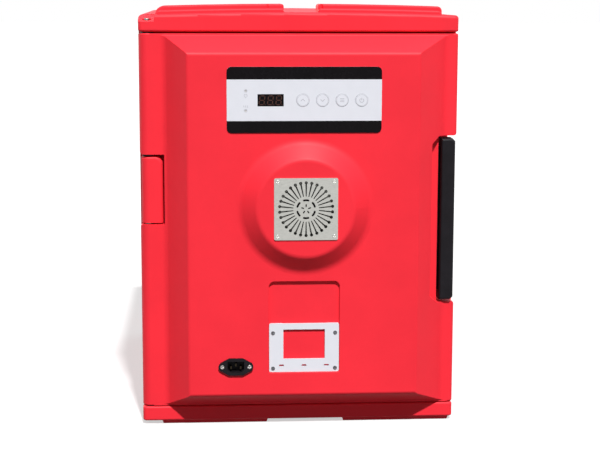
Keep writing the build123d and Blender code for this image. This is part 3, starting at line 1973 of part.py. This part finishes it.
# Impeller: back plate, hub and leaned blades, turning on the motor's shaft
impeller_front = chamber_back + chamber_wall + impeller_gap
impeller_back = impeller_front + impeller_plate + impeller_height
with BuildPart() as fan_impeller:
    depth_rod(boss_x, boss_z, impeller_radius, impeller_front, impeller_front + impeller_plate)
    depth_rod(boss_x, boss_z, impeller_hub, impeller_front, impeller_back)
    with BuildSketch(front_plane(impeller_back)):
        with Locations((boss_x, boss_z)):
            with PolarLocations(
                (impeller_radius + blade_inner_radius) / 2 - blade_rim_gap,
                blade_count,
                start_angle=90,
            ):
                Rectangle(
                    impeller_radius - blade_inner_radius,
                    blade_thickness,
                    rotation=blade_lean,
                )
    extrude(amount=impeller_height)
    depth_rod(
        boss_x,
        boss_z,
        shaft_radius + fixed_clearance,
        impeller_front,
        impeller_back,
        mode=Mode.SUBTRACT,
    )
fan_impeller.part.label = "fan_impeller"

with BuildPart() as fan_shaft:
    depth_rod(
        boss_x,
        boss_z,
        shaft_radius,
        motor_back - shaft_seat + shaft_end_gap,
        impeller_back,
    )
fan_shaft.part.label = "fan_shaft"

# Temperature probe through the plug, and thermal cut-out on the chamber's back
with BuildPart() as temperature_probe:
    depth_rod(probe_x, probe_z, probe_radius, foam_back - probe_reach, plug_back + probe_reach)
    with BuildSketch(back_plane(plug_back)):
        with Locations((-probe_x, probe_z)):
            RegularPolygon(probe_nut, 6)
    extrude(amount=probe_nut_height)
temperature_probe.part.label = "temperature_probe"

with BuildPart() as thermal_cutout:
    depth_rod(
        cutout_x,
        boss_z,
        cutout_radius,
        chamber_back - cutout_height,
        chamber_back,
    )
thermal_cutout.part.label = "thermal_cutout"

# Conduits for the wires, from the control housing down to the inlet and the duct
with BuildPart() as wiring_conduits:
    for x, z0, z1 in conduit_runs:
        post(x, conduit_depth, conduit_radius, z0, z1)
wiring_conduits.part.label = "wiring_conduits"

os.makedirs("parts", exist_ok=True)
pieces = [
    cabinet_shell,
    cabinet_foam,
    cabinet_liner,
    foam_fill_plugs,
    hinge_pin,
    hinge_bushes,
    hinge_washers,
    latch_base,
    latch_base_screws,
    latch_pin,
    latch_lever,
    door_shell,
    door_foam,
    door_liner,
    door_gasket,
    control_fascia,
    fascia_bands,
    display_window,
    display_module,
    control_housing,
    control_board,
    button_switches,
    indicator_lamps,
    card_frame,
    card_frame_screws,
    power_inlet,
    inlet_contacts,
    inlet_screws,
    grille_plate,
    grille_screws,
    duct_sleeve,
    fan_motor,
    motor_bracket,
    motor_spacers,
    fan_chamber,
    heater_element,
    heater_clips,
    heater_cover,
    heater_cover_screws,
    fan_impeller,
    fan_shaft,
    temperature_probe,
    thermal_cutout,
    wiring_conduits,
]
for piece in pieces:
    export_step(piece.part, f"parts/{piece.part.label}.step")
for button_part in buttons:
    export_step(button_part, f"parts/{button_part.label}.step")
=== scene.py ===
import json
import math

import bmesh
import bpy
from mathutils import Matrix, Vector


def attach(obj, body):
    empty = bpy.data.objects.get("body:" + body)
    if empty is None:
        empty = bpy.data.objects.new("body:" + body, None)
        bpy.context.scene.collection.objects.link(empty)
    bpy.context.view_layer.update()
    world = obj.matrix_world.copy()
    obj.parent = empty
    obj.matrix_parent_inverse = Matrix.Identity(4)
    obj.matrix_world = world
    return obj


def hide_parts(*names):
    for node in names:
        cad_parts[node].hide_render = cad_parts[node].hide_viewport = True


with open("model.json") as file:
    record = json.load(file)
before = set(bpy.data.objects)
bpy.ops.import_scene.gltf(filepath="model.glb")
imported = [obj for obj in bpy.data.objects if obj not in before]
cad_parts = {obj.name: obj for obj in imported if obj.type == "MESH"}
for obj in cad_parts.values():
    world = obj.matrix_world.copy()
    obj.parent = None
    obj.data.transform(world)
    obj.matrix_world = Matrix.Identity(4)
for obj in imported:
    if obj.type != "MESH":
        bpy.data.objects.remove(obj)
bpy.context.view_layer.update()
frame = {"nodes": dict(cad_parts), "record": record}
nodes = frame["nodes"]
MM = 0.001
RIM_Y = -0.28395  # the front of the door's rim
BOSS_X, BOSS_Z = 6.6, 331.2


# Materials
class Nodes:
    """A new node material around one Principled shader."""

    def __init__(self, name, base, roughness, metallic=0.0, specular=0.5):
        self.material = bpy.data.materials.new(name)
        self.material.use_nodes = True
        self.tree = self.material.node_tree
        self.shader = self.tree.nodes["Principled BSDF"]
        self.put("Base Color", (*base, 1.0))
        self.put("Roughness", roughness)
        self.put("Metallic", metallic)
        self.put("Specular IOR Level", specular)
        self.place = self.add("ShaderNodeTexCoord").outputs["Object"]

    def put(self, socket, value):
        self.shader.inputs[socket].default_value = value

    def add(self, kind, **values):
        node = self.tree.nodes.new(kind)
        for key, value in values.items():
            setattr(node, key, value)
        return node

    def join(self, source, target):
        self.tree.links.new(source, target)

    def stretched(self, scale):
        """The object's coordinates, scaled apart on each axis."""
        mapping = self.add("ShaderNodeMapping")
        mapping.inputs["Scale"].default_value = scale
        self.join(self.place, mapping.inputs["Vector"])
        return mapping.outputs["Vector"]

    def noise(self, scale, detail=2.0, rough=0.5, vector=None, distortion=0.0):
        node = self.add("ShaderNodeTexNoise")
        node.inputs["Scale"].default_value = scale
        node.inputs["Detail"].default_value = detail
        node.inputs["Roughness"].default_value = rough
        node.inputs["Distortion"].default_value = distortion
        self.join(vector or self.place, node.inputs["Vector"])
        return node.outputs["Fac"]

    def cells(self, scale):
        node = self.add("ShaderNodeTexVoronoi")
        node.inputs["Scale"].default_value = scale
        self.join(self.place, node.inputs["Vector"])
        return node.outputs["Distance"]

    def spread(self, value, low, high, out_low=0.0, out_high=1.0):
        """A value's range from low to high, laid over another range."""
        node = self.add("ShaderNodeMapRange")
        node.clamp = True
        for socket, number in zip(
            ("From Min", "From Max", "To Min", "To Max"), (low, high, out_low, out_high)
        ):
            node.inputs[socket].default_value = number
        self.join(value, node.inputs["Value"])
        return node.outputs["Result"]

    def blend(self, factor, first, second):
        """Two colours, or a colour and a socket, mixed by a factor."""
        node = self.add("ShaderNodeMix", data_type="RGBA")
        self.join(factor, node.inputs["Factor"])
        for value, target in ((first, node.inputs["A"]), (second, node.inputs["B"])):
            if isinstance(value, tuple):
                target.default_value = (*value, 1.0)
            else:
                self.join(value, target)
        return node.outputs["Result"]

    def sums(self, first, second, operation="ADD"):
        """Two sockets, or a socket and a number, put together."""
        node = self.add("ShaderNodeMath", operation=operation)
        for value, target in ((first, node.inputs[0]), (second, node.inputs[1])):
            if isinstance(value, (int, float)):
                target.default_value = value
            else:
                self.join(value, target)
        return node.outputs["Value"]

    def bumps(self, *layers):
        """Bump layers, each a height socket with its strength and depth in metres."""
        last = None
        for height, strength, depth in layers:
            node = self.add("ShaderNodeBump")
            node.inputs["Strength"].default_value = strength
            node.inputs["Distance"].default_value = depth
            self.join(height, node.inputs["Height"])
            if last is not None:
                self.join(last, node.inputs["Normal"])
            last = node.outputs["Normal"]
        self.join(last, self.shader.inputs["Normal"])

    def colour(self, socket):
        self.join(socket, self.shader.inputs["Base Color"])

    def rough(self, socket):
        self.join(socket, self.shader.inputs["Roughness"])


def scaled(colour, factor):
    return tuple(min(1.0, c * factor) for c in colour)


def moulded(name, base, roughness, grain, wear, pale):
    """Rotomoulded plastic: fine grain, soft waves, patchy gloss and faint scuffs."""
    m = Nodes(name, base, roughness, 0.0, specular=0.26)
    patches = m.noise(9.0, 3.0, 0.6)
    fine = m.noise(900.0, 2.0, 0.6)
    specks = m.cells(420.0)
    dust = m.spread(m.noise(160.0, 4.0, 0.7), 0.35, 0.8, 0.0, 0.10)
    tone = m.blend(m.spread(patches, 0.3, 0.7), scaled(base, 0.94), scaled(base, 1.04))
    tone = m.blend(dust, tone, scaled(base, 0.8))

    along = m.noise(34.0, 6.0, 0.72, m.stretched((1.0, 1.0, 7.0)), 0.4)
    across = m.noise(30.0, 6.0, 0.72, m.stretched((7.0, 3.0, 1.0)), 0.4)
    marks = m.sums(m.spread(along, 0.66, 0.74), m.spread(across, 0.67, 0.75), "MAXIMUM")
    where = m.spread(m.noise(5.0, 2.0, 0.5), 0.45, 0.65)
    marks = m.sums(m.sums(marks, where, "MULTIPLY"), wear, "MULTIPLY")

    gloss = m.spread(patches, 0.3, 0.7, roughness - 0.05, roughness + 0.06)
    m.colour(m.blend(marks, tone, pale))
    m.rough(m.sums(gloss, m.sums(marks, 0.25, "MULTIPLY")))
    m.bumps(
        (m.noise(7.0, 2.0, 0.5), 0.35, 0.0022),
        (m.spread(specks, 0.0, 0.55), grain * 0.6, 0.00012),
        (fine, grain, 0.00016),
    )
    return m.material


def satin(
    name, base, roughness, metallic=0.0, grain=0.2, size=700.0, vary=0.12, specular=0.5
):
    """Plain moulded or cast stuff with fine grain and slightly uneven gloss."""
    m = Nodes(name, base, roughness, metallic, specular)
    patches = m.spread(m.noise(60.0, 4.0, 0.6), 0.3, 0.7)
    shine = m.noise(140.0, 3.0, 0.6)
    m.colour(m.blend(patches, scaled(base, 1 - vary), scaled(base, 1 + vary)))
    m.rough(m.spread(shine, 0.3, 0.7, max(0.02, roughness - 0.06), roughness + 0.08))
    m.bumps((m.noise(size, 2.0, 0.6), grain, 0.00008))
    return m.material


def brushed(name, base, roughness, scale, direction):
    """Rolled or brushed metal with fine lines along one direction."""
    m = Nodes(name, base, roughness, metallic=1.0)
    lines = m.noise(scale, 4.0, 0.75, m.stretched(direction))
    smudge = m.noise(22.0, 3.0, 0.6)
    tone = m.blend(m.spread(lines, 0.3, 0.7), scaled(base, 0.78), scaled(base, 1.12))
    m.colour(m.blend(m.spread(smudge, 0.5, 0.75, 0.0, 0.35), tone, scaled(base, 0.72)))
    shine = m.spread(lines, 0.25, 0.75, roughness - 0.08, roughness + 0.1)
    m.rough(m.sums(shine, m.spread(smudge, 0.5, 0.75, 0.0, 0.12)))
    m.bumps((lines, 0.3, 0.00005))
    return m.material


RED = (0.9, 0.025, 0.043)
stuff = {
    "red_shell": moulded("red_shell_polyethylene", RED, 0.55, 0.30, 0.3, (0.95, 0.10, 0.12)),
    "red_liner": moulded(
        "red_liner_polyethylene", scaled(RED, 0.92), 0.55, 0.40, 0.2, (0.9, 0.09, 0.1)
    ),
    "foam": satin("foam_cream", (0.80, 0.70, 0.45), 0.85, grain=0.9, size=450.0),
    "black_nylon": satin(
        "nylon_black", (0.008, 0.007, 0.009), 0.45,
        grain=0.35, size=900.0, vary=0.25, specular=0.12,
    ),
    "black_gloss": satin(
        "gloss_black", (0.004, 0.003, 0.004), 0.25,
        grain=0.05, size=300.0, vary=0.2, specular=0.07,
    ),
    "white_plastic": satin(
        "plastic_white", (0.74, 0.75, 0.81), 0.42,
        grain=0.18, size=1100.0, vary=0.015, specular=0.35,
    ),
    "stainless": brushed("steel_stainless", (0.47, 0.47, 0.44), 0.40, 160.0, (1.0, 1.0, 14.0)),
    "screw_steel": satin(
        "steel_zinc", (0.27, 0.26, 0.25), 0.38, metallic=0.9, grain=0.12, size=600.0, vary=0.08
    ),
    "silicone": satin(
        "silicone_grey", (0.62, 0.61, 0.57), 0.55, grain=0.3, size=500.0, vary=0.05
    ),
    "circuit_board": satin("board_green", (0.02, 0.16, 0.06), 0.35, grain=0.1, vary=0.2),
    "lamp": satin("lamp_clear", (0.62, 0.60, 0.60), 0.15, grain=0.05, vary=0.05),
    # The brass contacts' colour is darkened almost to black: painted shade of the deep socket
    # around the pins.
    "brass_contact": satin(
        "contact_brass_painted_shade", (0.035, 0.028, 0.018), 0.45, metallic=1.0, grain=0.1
    ),
    "nylon_bush": satin("nylon_white", (0.78, 0.76, 0.70), 0.5, grain=0.2, vary=0.04),
    "aluminium_fan": brushed("aluminium_cast", (0.70, 0.70, 0.69), 0.42, 260.0, (1.0, 1.0, 1.0)),
}
DARK_SCREW = satin(
    "steel_darkened", (0.10, 0.10, 0.11), 0.42, metallic=0.9, grain=0.12, size=600.0, vary=0.08
)
INK = satin("ink_grey", (0.42, 0.42, 0.47), 0.5, vary=0.04)
SEGMENT = satin(
    "segment_unlit", (0.060, 0.022, 0.014), 0.3, grain=0.05, vary=0.15, specular=0.2
)
for part in frame["record"]["subparts"]:
    mesh = nodes[part["node"]].data
    mesh.materials.clear()
    mesh.materials.append(stuff[part["material_slot"]])


# Details
# Places on the control panel in millimetres, and depths behind the rim's front
FASCIA_FRONT = -36.2
BUTTON_FRONT = FASCIA_FRONT - 0.5
WINDOW_FRONT = FASCIA_FRONT + 0.2
BUTTON_Z = 486.2
BUTTONS = (("up_key", 2.7), ("down_key", 30.9), ("set_key", 59.1), ("power_key", 87.3))
LAMP_X = -79.2
LAMP_HEIGHTS = (499.5, 471.2)
DISPLAY_X = -43.5
DIGIT_PITCH = 12.0
INK_HEIGHT = 0.06
INK_LINE = 0.45


def at(x, depth, z):
    """A point from its x, its depth behind the rim's front and its height, in millimetres."""
    return Vector((x * MM, RIM_Y + depth * MM, z * MM))


def finish(name, bm, body, material, smooth=False):
    """Puts a bmesh into the scene as a piece that rides on a body."""
    bmesh.ops.recalc_face_normals(bm, faces=bm.faces)
    mesh = bpy.data.meshes.new(name)
    bm.to_mesh(mesh)
    bm.free()
    for polygon in mesh.polygons:
        polygon.use_smooth = smooth
    mesh.materials.append(material)
    piece = bpy.data.objects.new(name, mesh)
    bpy.context.scene.collection.objects.link(piece)
    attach(piece, body)
    return piece


def stroke(bm, points, width, depth, closed=False):
    """A raised line of one width along points on a plane that faces the front."""
    count = len(points)
    half = INK_HEIGHT / 2
    rows = []
    for i in range(count):
        here = Vector(points[i])
        normals = []
        if closed or i > 0:
            along = here - Vector(points[i - 1])
            normals.append(Vector((-along.y, along.x)).normalized())
        if closed or i < count - 1:
            along = Vector(points[(i + 1) % count]) - here
            normals.append(Vector((-along.y, along.x)).normalized())
        side = sum(normals, Vector((0.0, 0.0))).normalized()
        side *= width / 2 / max(0.4, side.dot(normals[0]))
        rows.append(
            [
                bm.verts.new(at(here.x + s * side.x, depth + d, here.y + s * side.y))
                for s, d in ((1, half), (1, -half), (-1, -half), (-1, half))
            ]
        )
    for i in range(count if closed else count - 1):
        a, b = rows[i], rows[(i + 1) % count]
        for k in range(4):
            bm.faces.new((a[k], a[(k + 1) % 4], b[(k + 1) % 4], b[k]))
    if not closed:
        bm.faces.new(rows[0])
        bm.faces.new(rows[-1])


def arc(x, z, radius, start=0.0, end=360.0, steps=48):
    """Points round a circle, with the angle in degrees from straight up."""
    turns = steps if end - start >= 360.0 else steps + 1
    return [
        (
            x + radius * math.sin(math.radians(start + (end - start) * i / steps)),
            z + radius * math.cos(math.radians(start + (end - start) * i / steps)),
        )
        for i in range(turns)
    ]


def button_marks():
    """A ring and a plain symbol on each button."""
    z = BUTTON_Z
    for body, x in BUTTONS:
        bm = bmesh.new()
        stroke(bm, arc(x, z, 7.9), 0.35, BUTTON_FRONT, closed=True)
        if body in ("up_key", "down_key"):
            up = 1 if body == "up_key" else -1
            tip = [(x - 2.9, z - 1.3 * up), (x, z + 1.7 * up), (x + 2.9, z - 1.3 * up)]
            stroke(bm, tip, 0.75, BUTTON_FRONT)
        elif body == "set_key":
            for rise in (-2.1, 0.0, 2.1):
                stroke(bm, [(x - 3.1, z + rise), (x + 3.1, z + rise)], 0.7, BUTTON_FRONT)
        else:
            stroke(bm, arc(x, z - 0.3, 2.9, 35.0, 325.0, 30), 0.7, BUTTON_FRONT)
            stroke(bm, [(x, z - 0.1), (x, z + 3.4)], 0.7, BUTTON_FRONT)
        finish("mark_" + body, bm, body, INK)


def lamp_marks():
    """A rim round each lamp, wavy lines for heat and a plug for mains beside them."""
    bm = bmesh.new()
    for z in LAMP_HEIGHTS:
        stroke(bm, arc(LAMP_X, z, 2.3, steps=32), 0.3, FASCIA_FRONT, closed=True)
    for shift in (-2.6, 0.0, 2.6):
        wave = [
            (LAMP_X + shift + 0.55 * math.sin(i * math.pi / 4), 475.4 + i * 0.42)
            for i in range(9)
        ]
        stroke(bm, wave, INK_LINE, FASCIA_FRONT)
    plug = ((-2.2, 494.0), (2.2, 494.0), (2.2, 492.2), (1.0, 490.8), (-1.0, 490.8), (-2.2, 492.2))
    stroke(bm, [(LAMP_X + u, z) for u, z in plug], INK_LINE, FASCIA_FRONT, closed=True)
    for shift, low, high in ((-1.1, 494.2, 495.7), (1.1, 494.2, 495.7), (0.0, 490.6, 489.3)):
        stroke(bm, [(LAMP_X + shift, low), (LAMP_X + shift, high)], INK_LINE, FASCIA_FRONT)
    finish("mark_lamps", bm, "door", INK)


def digits():
    """Three unlit seven-segment digits with their points, leaning a little."""
    bm = bmesh.new()
    half, tall, lean = 3.5, 6.3, 0.14
    segments = (
        ((-1, 2), (1, 2)), ((1, 2), (1, 0)), ((1, 0), (1, -2)), ((-1, -2), (1, -2)),
        ((-1, 0), (-1, -2)), ((-1, 2), (-1, 0)), ((-1, 0), (1, 0)),
    )
    for middle in (DISPLAY_X - DIGIT_PITCH, DISPLAY_X, DISPLAY_X + DIGIT_PITCH):
        for ends in segments:
            first, last = (Vector((u * half, v * tall / 2)) for u, v in ends)
            gap = (last - first).normalized() * 0.95
            points = [
                (middle + e.x + lean * e.y - 0.3, BUTTON_Z + e.y)
                for e in (first + gap, last - gap)
            ]
            stroke(bm, points, 1.3, WINDOW_FRONT)
        dot_x = middle + half - lean * tall + 1.6
        dot_z = BUTTON_Z - tall
        stroke(bm, [(dot_x - 0.6, dot_z), (dot_x + 0.6, dot_z)], 1.2, WINDOW_FRONT)
    finish("display_digits", bm, "door", SEGMENT)


def screws(name, spots, radius, rise, sink, facing, body, node, slot, material=None):
    """Low pan heads with a cross recess in place of a node of plain screws.

    Each spot is the point where the head's middle meets its seat. The recess is a cross sunk
    into the dome.
    """
    bm = bmesh.new()
    forward = Vector(facing).normalized()
    level = forward.to_track_quat("Z", "Y").to_matrix().to_4x4()
    rings, steps, arm, reach = 9, 48, 0.17, 0.62
    for spot in spots:
        place = Matrix.Translation(spot) @ level
        rows = []
        profile = [(radius, -sink), (radius, rise * 0.25), (radius * 0.97, rise * 0.5)]
        for k in range(rings):
            share = 0.92 * (1 - k / rings)
            profile.append((radius * share, rise * (0.5 + 0.5 * math.sqrt(1 - share * share))))
        for ring_radius, height in profile:
            row = []
            for i in range(steps):
                angle = 2 * math.pi * i / steps
                x, y = ring_radius * math.cos(angle), ring_radius * math.sin(angle)
                near, far = sorted((abs(x), abs(y)))
                cross = near < arm * radius and far < reach * radius
                drop = 0.55 * rise if cross and height > rise * 0.5 else 0.0
                row.append(bm.verts.new(place @ (Vector((x, y, height - drop)) * MM)))
            rows.append(row)
        for a, b in zip(rows, rows[1:]):
            for i in range(steps):
                face = bm.faces.new((a[i], a[(i + 1) % steps], b[(i + 1) % steps], b[i]))
                face.smooth = True
        middle = bm.verts.new(place @ (Vector((0, 0, rise * 0.45)) * MM))
        for i in range(steps):
            bm.faces.new((rows[-1][i], rows[-1][(i + 1) % steps], middle))
    piece = finish(name, bm, body, material or stuff[slot], smooth=True)
    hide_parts(node)


button_marks()
lamp_marks()
digits()
screws(
    "grille_screw_heads",
    [at(BOSS_X + u * 40.7, -54.5, BOSS_Z + v * 39.6) for u in (-1, 1) for v in (-1, 1)],
    2.9, 0.9, 0.3, (0, -1, 0), "door", "grille_screws", "stainless",
)
screws(
    "card_frame_screw_heads",
    [at(x, -33.4, z) for x in (-40.0, 51.4) for z in (91.85, 144.95)],
    2.9, 1.0, 0.3, (0, -1, 0), "door", "card_frame_screws", "screw_steel", DARK_SCREW,
)
screws(
    "inlet_screw_heads",
    [at(x, -38.0, 95.7) for x in (-114.6, -74.6)],
    3.1, 1.3, 0.3, (0, -1, 0), "door", "inlet_screws", "screw_steel",
)
screws(
    "heater_cover_screw_heads",
    [at(x, 50.4, z) for x, z in arc(BOSS_X, BOSS_Z, 90.0, steps=6)],
    3.6, 1.8, 0.3, (0, 1, 0), "door", "heater_cover_screws", "screw_steel",
)
screws(
    "latch_base_screw_heads",
    [at(209.0, depth, z) for z in (254.0, 360.5) for depth in (47.0, 79.0)],
    4.5, 2.0, 0.3, (1, 0, 0), "cabinet", "latch_base_screws", "screw_steel",
)


# Stage
def looking(tree):
    """1 for the rays that see the background: camera, glossy and transmission rays."""
    rays = tree.nodes.new("ShaderNodeLightPath")
    seen = rays.outputs["Is Camera Ray"]
    for kind in ("Is Glossy Ray", "Is Transmission Ray"):
        either = tree.nodes.new("ShaderNodeMath")
        either.operation = "MAXIMUM"
        tree.links.new(seen, either.inputs[0])
        tree.links.new(rays.outputs[kind], either.inputs[1])
        seen = either.outputs[0]
    return seen


def split_shader(tree, output, seen, lit):
    """One shader for the rays that see the background, another for the light on the object."""
    pick = tree.nodes.new("ShaderNodeMixShader")
    tree.links.new(looking(tree), pick.inputs["Fac"])
    tree.links.new(lit.outputs[0], pick.inputs[1])
    tree.links.new(seen.outputs[0], pick.inputs[2])
    tree.links.new(pick.outputs[0], tree.nodes.new(output).inputs["Surface"])


def grey(level):
    return (level, level, level, 1.0)


def backdrop(pale, bounce, glow_share):
    """A floor that is seen as white with the object's shadow, and bounces little light."""
    bpy.ops.mesh.primitive_plane_add(size=60.0, location=(0.0, 0.0, 0.0))
    floor = bpy.context.object
    floor.name = "floor"
    material = bpy.data.materials.new("floor_white")
    material.use_nodes = True
    tree = material.node_tree
    tree.nodes.clear()
    matte = tree.nodes.new("ShaderNodeBsdfDiffuse")
    dull = tree.nodes.new("ShaderNodeBsdfDiffuse")
    glow = tree.nodes.new("ShaderNodeEmission")
    seen = tree.nodes.new("ShaderNodeMixShader")
    matte.inputs["Color"].default_value = grey(pale)
    dull.inputs["Color"].default_value = grey(bounce)
    glow.inputs["Strength"].default_value = 1.0
    seen.inputs["Fac"].default_value = glow_share
    tree.links.new(matte.outputs[0], seen.inputs[1])
    tree.links.new(glow.outputs[0], seen.inputs[2])
    split_shader(tree, "ShaderNodeOutputMaterial", seen, dull)
    floor.data.materials.append(material)


def sky(ambient):
    """Soft light from everywhere, and white behind the object."""
    world = bpy.data.worlds.new("studio")
    bpy.context.scene.world = world
    world.use_nodes = True
    tree = world.node_tree
    tree.nodes.clear()
    shaders = []
    for strength in (1.0, ambient):
        shader = tree.nodes.new("ShaderNodeBackground")
        shader.inputs["Color"].default_value = grey(1.0)
        shader.inputs["Strength"].default_value = strength
        shaders.append(shader)
    split_shader(tree, "ShaderNodeOutputWorld", *shaders)


def sun(name, towards, strength, angle):
    """A distant lamp whose light travels along this direction."""
    data = bpy.data.lights.new(name, "SUN")
    data.energy = strength
    data.angle = math.radians(angle)
    lamp = bpy.data.objects.new(name, data)
    lamp.rotation_mode = "QUATERNION"
    lamp.rotation_quaternion = Vector(towards).to_track_quat("-Z", "Y")
    bpy.context.scene.collection.objects.link(lamp)


backdrop(pale=0.85, bounce=0.07, glow_share=0.55)
sky(ambient=0.20)
sun("key", (-0.14, 1.0, -1.35), 4.65, 2.5)
sun("fill_left", (1.0, -1.1, -0.4), 1.5, 60.0)
sun("fill_right", (-1.0, -0.9, -0.4), 1.5, 60.0)


# Camera
PHOTO_WIDTH = 600.0
FOCAL_PIXELS = 1490.0
SENSOR = 36.0
CAMERA_PLACE = (-0.142, RIM_Y - 2.165, 0.637)
CAMERA_YAW, CAMERA_DOWN, CAMERA_ROLL = -3.79, 8.83, 0.15  # degrees


def photo_camera():
    """The camera where the photograph was taken from."""
    data = bpy.data.cameras.new("camera")
    data.sensor_width = SENSOR
    data.lens = FOCAL_PIXELS / PHOTO_WIDTH * SENSOR
    data.clip_start = 0.05
    data.clip_end = 100.0
    camera = bpy.data.objects.new("camera", data)
    turn = Matrix.Rotation(math.radians(CAMERA_YAW), 4, "Z")
    tilt = Matrix.Rotation(math.radians(90.0 - CAMERA_DOWN), 4, "X")
    roll = Matrix.Rotation(math.radians(CAMERA_ROLL), 4, "Z")
    camera.matrix_world = Matrix.Translation(CAMERA_PLACE) @ turn @ tilt @ roll
    bpy.context.scene.collection.objects.link(camera)
    bpy.context.scene.camera = camera


photo_camera()
bpy.context.scene.view_settings.view_transform = "Standard"
